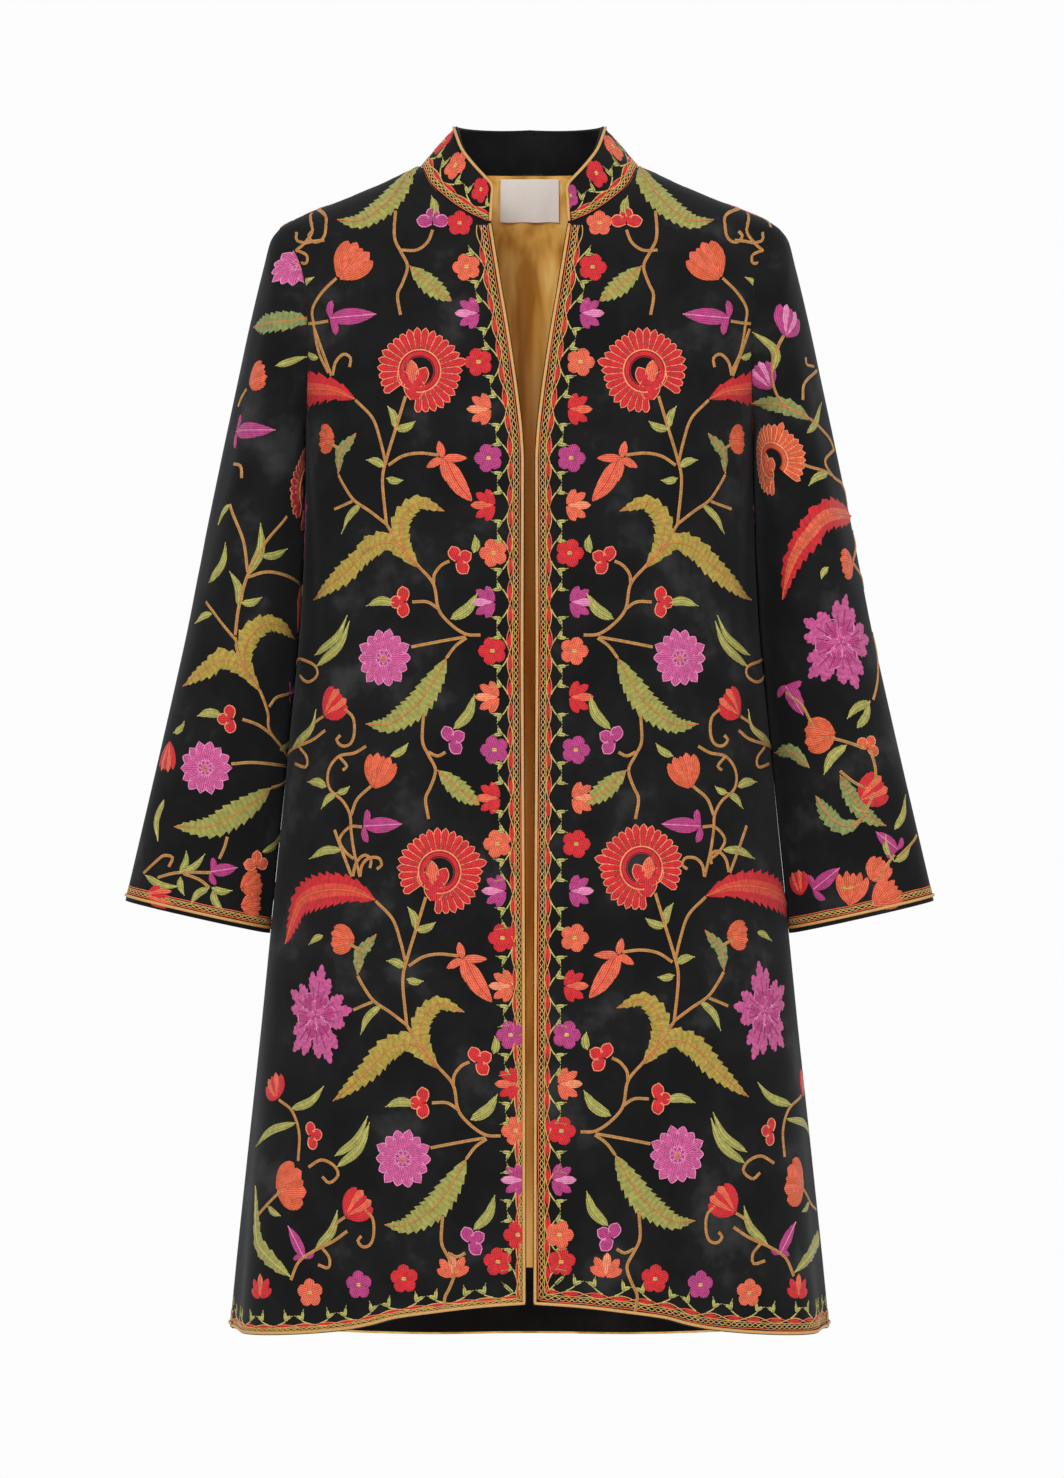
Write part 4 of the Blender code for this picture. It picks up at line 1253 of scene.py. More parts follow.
# Centres of the flowers down the front border, in pixels.
BORDER_FLOWERS = (
    (464, 267), (467, 313), (476, 362), (479, 409), (486, 458), (483, 505), (491, 553),
    (483, 602), (490, 651), (487, 697), (492, 750), (488, 798), (495, 844), (494, 891),
    (500, 938), (501, 986), (508, 1035), (507, 1084), (513, 1131), (513, 1180), (515, 1235),
)
# kind, colour and inner colour on the photo's left, then colour and inner colour on its right
BORDER_CYCLE = (
    ("blossom", CORAL, PALE_CORAL, RED, DEEP_RED),
    ("fan", MAGENTA, PINK, MAGENTA, PINK),
    ("blossom", RED, DEEP_RED, CORAL, PALE_CORAL),
    ("fan", CORAL, PALE_CORAL, RED, CORAL),
    ("blossom", MAGENTA, PINK, MAGENTA, PINK),
    ("fan", RED, CORAL, CORAL, PALE_CORAL),
)


def draw_branch(pen, stems, leaves, toothed=()):
    for points in stems:
        pen.stem(points)
    for base, tip, width in leaves:
        pen.leaf(base, tip, width)
    for half, teeth, colour, points in toothed:
        pen.toothed(points, half, colour, teeth=teeth)


def draw_front_repeat(pen, index):
    """One repeat of the front's flowering branch: 0 is the one at the shoulder, 2 the lowest."""
    vine = index == 1
    stems = FRONT_STEMS + (VINE_STEMS if vine else ())
    leaves = FRONT_LEAVES + (VINE_LEAVES if vine else ())
    draw_branch(pen, stems, leaves, FRONT_TOOTHED + (SINGLE_TOOTHED if index < 2 else ()))
    pen.fan((417, 371), 43)
    for tip in ((436, 440), (466, 458), (423, 468), (444, 483)):
        pen.work.blade(pen.at(((440, 458), tip)), leaf_shape(4.5 * PIXEL), CORAL)
    pen.work.blade(pen.at(((444, 461), (455, 483), (470, 502))), leaf_shape(9.5 * PIXEL), CORAL)
    pen.work.line(pen.at(((444, 461), (455, 483), (468, 499))), 0.001, RED, height=0.0004, base=0.0007)
    spine = ((353, 399), (329, 390), (302, 390), (279, 399), (270, 418), (263, 443))
    pen.feather(spine, 22, VERMILION, RED, ORANGE)
    pen.tulip((331, 439), (305, 438), 30, ORANGE, CORAL)
    pen.peony((293, 515), 43, 52)
    pen.clover((455, 561), 30, 12.5)
    pen.clover((402, 602), 180, 12.5)
    pen.rosette((381, 658), 29)
    if index > 0:
        pen.stem(((426, 752), (435, 756), (443, 752)))
        pen.leaf((451, 729), (472, 694), 11)
        pen.clover((448, 741), 30, 12.5, MAGENTA, PINK)
        draw_side_group(pen)
    pen.tulip((322, 715), (345, 694), 36, RED, CORAL)
    if vine:
        pen.tulip((371, 787), (382, 755), 32, ORANGE, CORAL)
        pen.bud((361, 826), (400, 824), 17)


def draw_side_group(pen):
    """The flowers near the side seam."""
    offset = pen.offset - SIDE_GROUP_SHIFT
    pen = Pen(pen.work, pen.paper, pen.turn, offset, pen.mirror, pen.shift)
    draw_branch(pen, SIDE_STEMS, SIDE_LEAVES)
    pen.tulip((275, 1098), (263, 1076), 28, RED, CORAL, 38)
    pen.clover((307, 1136), 10)
    pen.tulip((277, 1190), (310, 1180), 50, ORANGE, CORAL, 38)
    pen.bud((300, 1258), (286, 1226), 13)
    spine = ((288, 1277), (271, 1260), (259, 1242), (256, 1216), (255, 1186))
    pen.toothed(spine, 11, OLIVE, LIME, 8)


# Borders along the edges of the fronts

BORDER_TOP = 0.905
FRONT_CORNER_HEIGHT = HEM[0][1]
FLOWER_SPACING_PX = 48.5
FLOWER_SPACING = FLOWER_SPACING_PX * PIXEL * FRONT_NEARNESS
FIRST_FLOWER_RUN = 0.065
FLOWER_RADIUS_PX = 14.5
BRAID_START = -0.0105
BRAID_SEAM = 0.0015


def edge_arc(height):
    """u of the front edge at each height."""
    angle = front_edge_angle(height)
    return look_up(FRONT_ARCS, height_row(height), angle / ANGLE_STEP)


def hem_rise(arc):
    """Height of the front hem at each u."""
    angle = look_up(FRONT_ANGLES, height_row(0.02 + 0 * arc), np.maximum(arc, 0) / ARC_STEP)
    return hem_height(angle)


CORNER_ARC = float(edge_arc(np.array(FRONT_CORNER_HEIGHT)))


def front_border(run, inset):
    """(u, v) in the front border: run counts down the edge to the corner, then along the hem."""
    length = BORDER_TOP - FRONT_CORNER_HEIGHT
    height = BORDER_TOP - run
    down_u = edge_arc(np.maximum(height, FRONT_CORNER_HEIGHT)) + inset
    down_v = np.maximum(height, hem_rise(down_u) + inset)
    hem_u = np.maximum(CORNER_ARC + run - length, CORNER_ARC + inset)
    hem_v = hem_rise(hem_u) + inset
    down = run < length
    return stacked(np.where(down, down_u, hem_u), np.where(down, down_v, hem_v))


SIDE_HEM_HEIGHT = HEM[-1][1]
SIDE_HEM_ROW = height_row(np.array(SIDE_HEM_HEIGHT))
SIDE_ARC = float(look_up(FRONT_ARCS, SIDE_HEM_ROW, np.array(SIDE / ANGLE_STEP)))
BACK_SIDE_ARC = float(look_up(BACK_ARCS, SIDE_HEM_ROW, np.array(SIDE / ANGLE_STEP)))
BORDER_END = BORDER_TOP - FRONT_CORNER_HEIGHT + SIDE_ARC - CORNER_ARC - BRAID_SEAM


def flower_runs(start, end):
    """Where a border's flowers stand along it."""
    first = start + (FIRST_FLOWER_RUN - start) % FLOWER_SPACING
    return np.arange(first, end - 0.004, FLOWER_SPACING)


def draw_braid(work, border, start, end, scale, vine=True):
    """A hand-couched braid: coral and gold lines, a lattice, and red lenses under a leafy vine."""
    run = np.arange(start, end, 0.0018)
    size = scale(run)
    drift = np.sin(run * 61) + np.sin(run * 173 + 1.1)
    period = FLOWER_SPACING
    phase = -2 * math.pi * FIRST_FLOWER_RUN / period

    def at(inset, wave=0.0, turn=0.0, length=0.0105, loose=0.0002):
        swing = wave * np.sin(2 * math.pi * run / length + turn + 0.4 * drift * (length < 0.02))
        return border(run, (inset + swing + loose * drift) * size)

    work.line(at(0.0042), 0.0010, CORAL, height=0.0005, spacing=0.004)
    for turn in (0.0, math.pi):
        work.line(at(0.0069, 0.0016, turn), 0.0009, GOLD, height=0.0005, spacing=0.0018)
    work.line(at(0.0093), 0.0009, GOLD, height=0.0005, spacing=0.004)
    if not vine:
        work.line(at(0.0112), 0.0010, CORAL, height=0.0005, spacing=0.004)
        return
    for turn, colour in ((0.0, GOLD), (math.pi, CORAL)):
        path = at(0.0117, 0.0021, phase + turn, period)
        work.line(path, 0.0010, colour, height=0.0006, spacing=0.003)
    for place in flower_runs(start, end):
        here = float(scale(place))
        for way in (-1, 1):
            runs = place + way * period * np.array((0.07, 0.25, 0.43))
            work.blade(border(runs, 0.0117 * here), leaf_shape(0.0017), RED)
            runs = place + way * period * np.array((0.12, 0.20, 0.30))
            insets = np.array((0.0135, 0.0150, 0.0178)) * here
            work.line(border(runs, insets), 0.0013, LIME, height=0.0006)
            for reach, out in ((-0.0012, 0.0098), (0.0072, 0.0046)):
                ends = runs[-1] + way * reach * np.array((0, 0.2, 1))
                outs = insets[-1] + out * np.array((0, 0.55, 1))
                work.blade(border(ends, outs), leaf_shape(0.0018), LIME, dome=0.0006)
                work.line(border(ends, outs), 0.0007, OLIVE, height=0.0003, base=0.0005)


HEM_FLOWERS = (
    ((261, 1289), "fan", RED, CORAL),
    ((305, 1293), "blossom", CORAL, PALE_CORAL),
    ((355, 1285), "blossom", MAGENTA, PINK),
    ((403, 1279), "blossom", RED, DEEP_RED),
    ((451, 1268), "fan", CORAL, PALE_CORAL),
    ((495, 1262), "blossom", RED, DEEP_RED),
)


def draw_border_flower(pen, centre, kind, colour, inner, facing):
    if kind == "fan":
        pen.half_flower(centre, FLOWER_RADIUS_PX, colour, inner, facing)
    else:
        pen.flower(centre, FLOWER_RADIUS_PX, colour, start=facing)


def steady(size):
    """A braid's scale that is the same all along it."""
    return lambda run: size + 0 * run


def narrowing(run):
    """The scale of the braid on the photo's left, which narrows from the waist down."""
    return 1.0 - 0.40 * ease((run - 0.35) / 0.5)


# Offsets of a front's three repeats from the middle one on the photo's left, in pixels.
LEFT_COPIES = ((-28, -504), (0, 0), (20, 501))
RIGHT_COPIES = ((-20, -504), (-5, 0), (-2, 497))
BACK_COPIES = ((-20, -504), (0, 0), (0, 499))


def draw_front_flowers(pen, photo_left):
    """The flowers down a front's border and along its hem."""
    for index, centre in enumerate(BORDER_FLOWERS):
        kind, colour, inner, other_colour, other_inner = BORDER_CYCLE[index % len(BORDER_CYCLE)]
        x, y = centre
        if not photo_left:
            colour, inner = other_colour, other_inner
            x = x - 18 * min(max((y - 440) / 500, 0), 1)
        draw_border_flower(pen, (x, y), kind, colour, inner, 180)
    for centre, kind, colour, inner in HEM_FLOWERS:
        draw_border_flower(pen, centre, kind, colour, inner, 95)


def draw_front(work, photo_left):
    """All the needlework of one front."""
    for index, offset in enumerate(LEFT_COPIES if photo_left else RIGHT_COPIES):
        pen = Pen(work, front_paper, FRONT_TURN, offset)
        draw_front_repeat(pen, index)
    draw_shoulder(work)
    pen = Pen(work, front_paper, FRONT_TURN)
    pen.leaf((430, 217), (429, 196), 10)
    pen.stem(((430, 230), (425, 242), (414, 250), (399, 250)))
    clover_colours = (MAGENTA, PINK) if photo_left else (RED, PALE_CORAL)
    pen.clover((430, 222), 90, 13, *clover_colours)
    pen.flower((457, 223), 13.5, RED if photo_left else CORAL)
    draw_front_flowers(pen, photo_left)
    scale = narrowing if photo_left else steady(1)
    draw_braid(work, front_border, BRAID_START, BORDER_END, scale)


# Motifs of the sleeve on the photo's left

SLEEVE_STEMS = (
    ((242, 387), (236, 396), (233, 404)),
    ((230, 463), (238, 466), (239, 478)),
    ((283, 516), (263, 542), (245, 575), (236, 607), (232, 635)),
    ((227, 504), (240, 539), (245, 572)),
    ((245, 577), (270, 572), (296, 583)),
    ((232, 639), (210, 613), (201, 601)),
    ((232, 637), (240, 665), (257, 691)),
    ((257, 691), (264, 713), (268, 735), (283, 764), (289, 772)),
    ((265, 707), (273, 697), (285, 693)),
    ((268, 735), (255, 725), (239, 719)),
    ((228, 764), (256, 763), (287, 768)),
    ((289, 772), (280, 780), (267, 788)),
    ((224, 837), (221, 848), (216, 859)),
    ((139, 874), (152, 862), (160, 856), (169, 858), (165, 867)),
    ((154, 878), (175, 873), (208, 873)),
    ((180, 874), (196, 880), (206, 888)),
)
SLEEVE_LEAVES = (
    ((245, 575), (258, 523), 10),
    ((258, 556), (284, 548), 8),
    ((236, 607), (227, 571), 9),
    ((238, 603), (259, 597), 8),
    ((227, 504), (214, 524), 8),
    ((205, 582), (223, 542), 10),
    ((208, 613), (191, 623), 8),
    ((273, 366), (291, 356), 8),
    ((218, 715), (194, 716), 10),
    ((275, 750), (289, 731), 9),
    ((169, 733), (181, 721), 8),
    ((258, 853), (280, 829), 9),
    ((176, 873), (183, 851), 7),
    ((176, 873), (202, 854), 7),
    ((206, 888), (187, 905), 8),
    ((208, 888), (229, 891), 8),
    ((209, 891), (220, 911), 8),
    ((177, 877), (181, 896), 7),
    ((141, 876), (177, 887), 8),
    ((160, 800), (154, 842), 9),
)
SLEEVE_TOOTHED = (
    (14, 10, GREEN, ((310, 312), (292, 317), (270, 322), (250, 325))),
    (13, 12, MUSTARD, ((257, 691), (242, 666), (244, 642), (259, 625), (275, 625), (289, 638))),
    (13, 11, MUSTARD, ((257, 691), (242, 670), (222, 660), (202, 670), (179, 686))),
    (16, 12, OLIVE, ((267, 788), (234, 813), (206, 827), (171, 827))),
)
# kind, base, tip, width, colour, inner or rib colour
SLEEVE_SMALL = (
    ("bud", (231, 430), (273, 430), 18, MAGENTA, PINK),
    ("bud", (208, 872), (234, 868), 14, MAGENTA, PINK),
    ("bud", (285, 693), (300, 686), 12, MAGENTA, PINK),
    ("tulip", (245, 381), (271, 372), 30, ORANGE, CORAL),
    ("tulip", (238, 889), (262, 881), 26, ORANGE, CORAL),
    ("tulip", (238, 906), (262, 905), 22, CORAL, ORANGE),
    ("tulip", (270, 904), (282, 886), 18, VERMILION, CORAL),
    ("tulip", (296, 583), (307, 632), 34, CORAL, PALE_CORAL),
    ("tulip", (142, 895), (170, 898), 16, RED, CORAL),
    ("tulip", (165, 742), (160, 772), 22, RED, CORAL),
)


def draw_small(pen, table):
    for kind, base, tip, width, colour, inner in table:
        draw = pen.bud if kind == "bud" else pen.tulip
        draw(base, tip, width, colour, inner)


def draw_first_sleeve(work):
    pen = Pen(work, sleeve_paper, SLEEVE_TURN)
    draw_branch(pen, SLEEVE_STEMS, SLEEVE_LEAVES, SLEEVE_TOOTHED)
    pen.rosette((279, 260), 25)
    pen.fan((299, 488), 42)
    pen.rosette((202, 768), 26.5)
    pen.clover((228, 719), 180)
    pen.clover((253, 866), 90, 12, CORAL)
    draw_small(pen, SLEEVE_SMALL)


# Motifs of the sleeve on the photo's right, in its own pixels

OTHER_STEMS = (
    ((771, 354), (776, 345), (781, 336)),
    ((813, 364), (806, 363), (805, 356)),
    ((816, 368), (803, 382), (800, 400)),
    ((834, 447), (824, 460), (833, 474), (842, 481)),
    ((777, 343), (769, 370), (775, 397), (798, 414), (829, 435), (834, 447)),
    ((842, 481), (852, 500), (855, 530), (853, 561)),
    ((853, 561), (868, 585), (880, 620), (872, 700)),
    ((833, 474), (812, 468), (800, 464)),
    ((785, 692), (800, 705), (812, 728)),
    ((818, 735), (845, 742), (862, 748)),
    ((872, 793), (862, 815), (852, 826)),
    ((838, 771), (852, 782), (868, 790)),
    ((869, 750), (874, 770), (872, 785)),
    ((896, 858), (905, 850), (917, 836)),
    ((875, 880), (885, 866), (893, 855)),
)
OTHER_LEAVES = (
    ((770, 372), (765, 331), 10),
    ((804, 433), (821, 400), 9),
    ((827, 472), (806, 486), 9),
    ((826, 567), (819, 579), 7),
    ((869, 702), (845, 719), 10),
    ((845, 745), (822, 775), 11),
    ((855, 728), (868, 700), 10),
    ((893, 830), (905, 795), 9),
    ((850, 805), (868, 812), 7),
    ((893, 862), (910, 846), 8),
    ((884, 835), (893, 862), 8),
    ((838, 888), (858, 884), 9),
)
OTHER_TOOTHED = (
    (11, 6, GREEN, ((808, 420), (795, 412), (775, 405), (755, 404))),
    (11, 8, GREEN, ((860, 822), (842, 826), (826, 815), (814, 796))),
    (9, 6, GREEN, ((808, 768), (790, 752), (775, 753))),
    (11, 9, GREEN, ((838, 775), (852, 800), (868, 818), (884, 826))),
)
OTHER_SMALL = (
    ("tulip", (783, 336), (798, 306), 30, MAGENTA, PINK),
    ("tulip", (853, 561), (826, 567), 30, ORANGE, CORAL),
    ("bud", (785, 686), (802, 715), 18, MAGENTA, PINK),
    ("tulip", (832, 735), (802, 736), 42, ORANGE, CORAL),
    ("tulip", (858, 800), (885, 782), 34, RED, CORAL),
    ("bud", (812, 890), (838, 868), 16, MAGENTA, PINK),
    ("tulip", (848, 905), (852, 872), 24, CORAL, ORANGE),
    ("tulip", (870, 880), (884, 860), 26, CORAL, ORANGE),
    ("tulip", (872, 905), (898, 886), 26, CORAL, ORANGE),
    ("tulip", (800, 895), (792, 872), 24, RED, CORAL),
    ("bud", (896, 850), (874, 832), 14, MAGENTA, PINK),
)


def draw_second_sleeve(work):
    pen = Pen(work, sleeve_paper, SLEEVE_TURN, mirror=True)
    draw_branch(pen, OTHER_STEMS, OTHER_LEAVES, OTHER_TOOTHED)
    spine = ((851, 514), (829, 514), (808, 533), (790, 561), (781, 599))
    pen.feather(spine, 20, CORAL, RED, ORANGE, 13)
    pen.fan((770, 460), 36, ORANGE, PALE_CORAL, start=-40)
    pen.peony((839, 643), 45, 50)
    pen.clover((866, 748), 60, 11, ORANGE)
    pen.tulip((768, 388), (754, 364), 28, MAGENTA, PINK)
    draw_small(pen, OTHER_SMALL)


SHOULDER_STEMS = (
    ((745, 213), (744, 230), (752, 243), (760, 250), (768, 256)),
    ((752, 243), (760, 240), (760, 232)),
    ((760, 250), (750, 255), (750, 263), (756, 263)),
    ((752, 243), (742, 241), (732, 240)),
    ((720, 278), (735, 293), (744, 309), (743, 323), (738, 351), (728, 373)),
    ((728, 321), (740, 323), (752, 324)),
)
SHOULDER_LEAVES = (
    ((764, 278), (773, 241), 10),
    ((760, 293), (742, 277), 8),
    ((763, 294), (768, 281), 8),
    ((738, 358), (752, 351), 7),
)


def draw_shoulder(work):
    """The tulip, bud and curls over the fan, measured on the photo's right."""
    pen = Pen(work, front_paper, FRONT_TURN, mirror=True)
    draw_branch(pen, SHOULDER_STEMS, SHOULDER_LEAVES)
    pen.bud((726, 318), (680, 314), 18)
    pen.tulip((717, 277), (692, 247), 42, ORANGE, CORAL)


CUFF_POINTS = 60
CUFF_BRAID_RISE = 0.0035


def cuff_path(facing):
    """Plan points round half a cuff's edge."""
    turns = np.linspace(0.02, math.pi - 0.03, CUFF_POINTS) * facing
    points = sleeve_form(turns, np.full(CUFF_POINTS, float(LAST_RING)))
    levels = points @ SLEEVE_AXIS
    row = (levels - SLEEVE_LEVELS[0]) / LEVEL_STEP
    arcs = look_up(SLEEVE_ARC_TABLE, row, (turns - SLEEVE_TURNS[0]) / TURN_STEP)
    return stacked(np.abs(arcs), levels)


def draw_cuff(work, facing):
    """The braid round half a cuff."""
    base = cuff_path(facing)
    run = run_lengths(base)

    def border(place, inset):
        u = np.interp(place, run, base[:, 0])
        v = np.interp(place, run, base[:, 1])
        return stacked(u, v + (inset + CUFF_BRAID_RISE))

    draw_braid(work, border, 0.0, run[-1], steady(0.8), vine=False)


def back_border(run, inset):
    """(u, v) along the back hem, from the back middle."""
    angle = look_up(BACK_ANGLES, height_row(0 * run), np.maximum(run, 0) / ARC_STEP)
    return stacked(run, hem_height(BACK_MIDDLE - angle) + inset)


def draw_back_half(work):
    """The repeat on half of the back, and the braid along its hem."""
    for index, offset in enumerate(BACK_COPIES):
        pen = Pen(work, front_paper, FRONT_TURN, offset, shift=(-0.036, 0.0))
        draw_front_repeat(pen, index)
    pen = Pen(work, front_paper, FRONT_TURN, shift=(0.0, -0.032))
    for centre, kind, colour, inner in HEM_FLOWERS:
        draw_border_flower(pen, (centre[0] + 6, centre[1]), kind, colour, inner, 95)
    draw_braid(work, back_border, 0.0, BACK_SIDE_ARC - BRAID_SEAM, steady(1))


COLLAR_BRAID_DROP = 0.0018
COLLAR_FLOWER_HEIGHT = 0.0212
COLLAR_TURN = np.array(((1.0, 0.0), (0.0, -1.0))) * PIXEL
COLLAR_CYCLE = (RED, CORAL, RED, MAGENTA)


def collar_border(run, inset):
    """(run, up) in the braid along the collar's base."""
    return stacked(run, inset - COLLAR_BRAID_DROP + 0 * run)


def draw_collar(work):
    """Flowers round the collar over a braid along its base."""
    ends = COLLAR_HALF - 0.004
    draw_braid(work, collar_border, -ends, ends, steady(0.74))
    pen = Pen(work, lambda points: points, COLLAR_TURN)
    for index, run in enumerate(flower_runs(-ends, ends)):
        pen.flower((run, COLLAR_FLOWER_HEIGHT), 13, COLLAR_CYCLE[index % len(COLLAR_CYCLE)])


# Materials


def make_material(name):
    material = bpy.data.materials.new(name)
    material.use_nodes = True
    shader = material.node_tree.nodes["Principled BSDF"]
    return material, material.node_tree, shader


def add_node(tree, kind, **values):
    """A shader node. Values are of its inputs, or of its own settings where a name has none."""
    node = tree.nodes.new(kind)
    for name, value in values.items():
        label = name.replace("_", " ")
        socket = node.inputs.get(label)
        if socket is None:
            setattr(node, name, value)
        elif hasattr(value, "is_output"):
            tree.links.new(value, socket)
        else:
            socket.default_value = value
    return node


def add_math(tree, operation, first, second=0.0):
    node = tree.nodes.new("ShaderNodeMath")
    node.operation = operation
    for socket, value in zip(node.inputs, (first, second)):
        if hasattr(value, "is_output"):
            tree.links.new(value, socket)
        else:
            socket.default_value = value
    return node.outputs[0]


def add_ramp(tree, factor, stops):
    ramp = tree.nodes.new("ShaderNodeValToRGB")
    elements = ramp.color_ramp.elements
    while len(elements) < len(stops):
        elements.new(0.5)
    for element, (place, colour) in zip(elements, stops):
        element.position = place
        element.color = (*colour, 1.0)
    tree.links.new(factor, ramp.inputs[0])
    return ramp.outputs["Color"]


def add_bump(tree, shader, height, strength, distance):
    bump = tree.nodes.new("ShaderNodeBump")
    bump.inputs["Strength"].default_value = strength
    bump.inputs["Distance"].default_value = distance
    tree.links.new(height, bump.inputs["Height"])
    tree.links.new(bump.outputs["Normal"], shader.inputs["Normal"])


def grey(value):
    return (value, value, value * 1.04)


def make_velvet(name, painted_sheen_grey):
    """Black pile: soft grey clouds of painted sheen where it lies another way, and a fine nap."""
    material, tree, shader = make_material(name)
    place = add_node(tree, "ShaderNodeTexCoord").outputs["Object"]
    sheen_clouds = add_node(
        tree, "ShaderNodeTexNoise", Vector=place, Scale=15.0, Detail=4.0, Roughness=0.6
    )
    # Painted sheen: the noise lifts the near-black base colour to grey clouds that stand for the
    # pile's sheen.
    stops = ((0.40, grey(0.0032)), (0.56, grey(0.0060)), (0.70, grey(painted_sheen_grey)))
    shade = add_ramp(tree, sheen_clouds.outputs["Fac"], stops)
    tree.links.new(shade, shader.inputs["Base Color"])
    shader.inputs["Roughness"].default_value = 0.9
    shader.inputs["Specular IOR Level"].default_value = 0.12
    shader.inputs["Sheen Weight"].default_value = 0.05
    shader.inputs["Sheen Roughness"].default_value = 0.45
    shader.inputs["Sheen Tint"].default_value = (0.75, 0.78, 0.85, 1.0)
    nap = add_node(tree, "ShaderNodeTexNoise", Vector=place, Scale=1400.0, Detail=2.0)
    add_bump(tree, shader, nap.outputs["Fac"], 0.5, 0.0004)
    return material


STITCH_WIDTH = 0.00165
STITCH_LENGTH = 0.0026


def stitch_height(tree, row, run):
    """How high the thread stands: rows of chain stitch, each stitch dipping at its end."""
    rows = add_math(tree, "MULTIPLY", row, 1 / STITCH_WIDTH)
    row_share = add_math(tree, "FRACT", rows)
    from_middle = add_math(tree, "ABSOLUTE", add_math(tree, "SUBTRACT", row_share, 0.5))
    twice = add_math(tree, "MULTIPLY", from_middle, 2.0)
    ridge = add_math(tree, "SUBTRACT", 1.0, add_math(tree, "POWER", twice, 3.0))
    stitch = add_math(tree, "MULTIPLY", run, 1 / STITCH_LENGTH)
    stitch = add_math(tree, "ADD", stitch, add_math(tree, "MULTIPLY", from_middle, 0.9))
    row_shift = add_math(tree, "MULTIPLY", add_math(tree, "FLOOR", rows), 0.37)
    stitch = add_math(tree, "ADD", stitch, row_shift)
    dip = add_math(tree, "LESS_THAN", add_math(tree, "FRACT", stitch), 0.16)
    return add_math(tree, "SUBTRACT", ridge, add_math(tree, "MULTIPLY", dip, 0.45))


def make_thread():
    """Embroidery thread: stitched rows along each shape, in the shape's own colour, with painted shade
    in the grooves between rows and at each stitch's end.
    """
    material, tree, shader = make_material("embroidery_thread")
    uv = add_node(tree, "ShaderNodeUVMap", uv_map="UVMap").outputs["UV"]
    split = add_node(tree, "ShaderNodeSeparateXYZ", Vector=uv)
    height = stitch_height(tree, split.outputs["X"], split.outputs["Y"])
    # Painted shade: the colour darkens where the stitch height falls, between rows and at stitch ends.
    groove_shade = add_math(tree, "ADD", add_math(tree, "MULTIPLY", height, 0.62), 0.34)
    place = add_node(tree, "ShaderNodeTexCoord").outputs["Object"]
    patches = add_node(tree, "ShaderNodeTexNoise", Vector=place, Scale=260.0, Detail=1.0)
    vary = add_math(tree, "ADD", add_math(tree, "MULTIPLY", patches.outputs["Fac"], 0.8), 0.52)
    factor = add_math(tree, "MULTIPLY", groove_shade, vary)
    colour = add_node(tree, "ShaderNodeVertexColor", layer_name="thread").outputs["Color"]
    shaded = add_node(tree, "ShaderNodeVectorMath", operation="SCALE")
    tree.links.new(colour, shaded.inputs[0])
    tree.links.new(factor, shaded.inputs["Scale"])
    tree.links.new(shaded.outputs["Vector"], shader.inputs["Base Color"])
    shader.inputs["Roughness"].default_value = 0.62
    shader.inputs["Specular IOR Level"].default_value = 0.3
    shader.inputs["Sheen Weight"].default_value = 0.06
    add_bump(tree, shader, height, 0.6, 0.0006)
    return material


def make_satin():
    material, tree, shader = make_material("gold_lining_satin")
    place = add_node(tree, "ShaderNodeTexCoord").outputs["Object"]
    drawn = add_node(tree, "ShaderNodeMapping", Vector=place, Scale=(1.0, 1.0, 0.09))
    folds = add_node(
        tree, "ShaderNodeTexNoise", Vector=drawn.outputs["Vector"], Scale=62.0, Detail=2.0
    )
    shadow, middle, light = linear(196, 138, 52), linear(238, 184, 92), linear(252, 212, 128)
    stops = ((0.34, shadow), (0.52, middle), (0.68, light))
    colour = add_ramp(tree, folds.outputs["Fac"], stops)
    tree.links.new(colour, shader.inputs["Base Color"])
    shader.inputs["Roughness"].default_value = 0.42
    weave = add_node(tree, "ShaderNodeTexNoise", Vector=place, Scale=1800.0)
    add_bump(tree, shader, weave.outputs["Fac"], 0.25, 0.0002)
    return material


def make_plain(name, colour, roughness, scale, depth, low=0.72):
    """A plain cloth or thread with a fine weave, with painted shade, darker by low, where the weave's
    bump lies low between its threads.
    """
    material, tree, shader = make_material(name)
    place = add_node(tree, "ShaderNodeTexCoord").outputs["Object"]
    weave = add_node(tree, "ShaderNodeTexNoise", Vector=place, Scale=scale, Detail=2.0)
    shade_between_threads = tuple(part * low for part in colour)
    # Painted shade: the noise that raises the bump also darkens its low places.
    shade = add_ramp(tree, weave.outputs["Fac"], ((0.35, shade_between_threads), (0.65, colour)))
    tree.links.new(shade, shader.inputs["Base Color"])
    shader.inputs["Roughness"].default_value = roughness
    add_bump(tree, shader, weave.outputs["Fac"], 0.5, depth)
    return material


# Both velvets paint their sheen as grey clouds in the base colour; the facing's painted sheen is
# fainter.
VELVET = make_velvet("black_coat_velvet", 0.022)
FACING = make_velvet("black_facing_velvet", 0.010)
THREAD = make_thread()
SATIN = make_satin()
LABEL = make_plain("cream_label_satin", linear(252, 249, 242), 0.5, 900.0, 0.0001, 0.94)
CORD = make_plain("gold_edge_cord", linear(188, 142, 76), 0.55, 900.0, 0.0005)

# A coat panel's outer face, inner face and edges.
COAT_CLOTH = (VELVET, SATIN, FACING)

# Pieces


def add_fronts():
    """The two fronts. Each grid runs round from the same side."""
    places = front_places()
    grids = {"left": grid_of(places), "right": grid_of(places * (-1, 1))[:, ::-1]}
    made = {}
    for side, points in grids.items():
        node = f"front_{side}"
        made[side] = add_shell(
            f"{node}_velvet", node, points, PANEL_WALL, COAT_CLOTH
        )
    return made


def add_back():
    places = back_places()
    points = grid_of(places)
    piece = add_shell("back_velvet", "back", points, PANEL_WALL, COAT_CLOTH)
    return piece, places


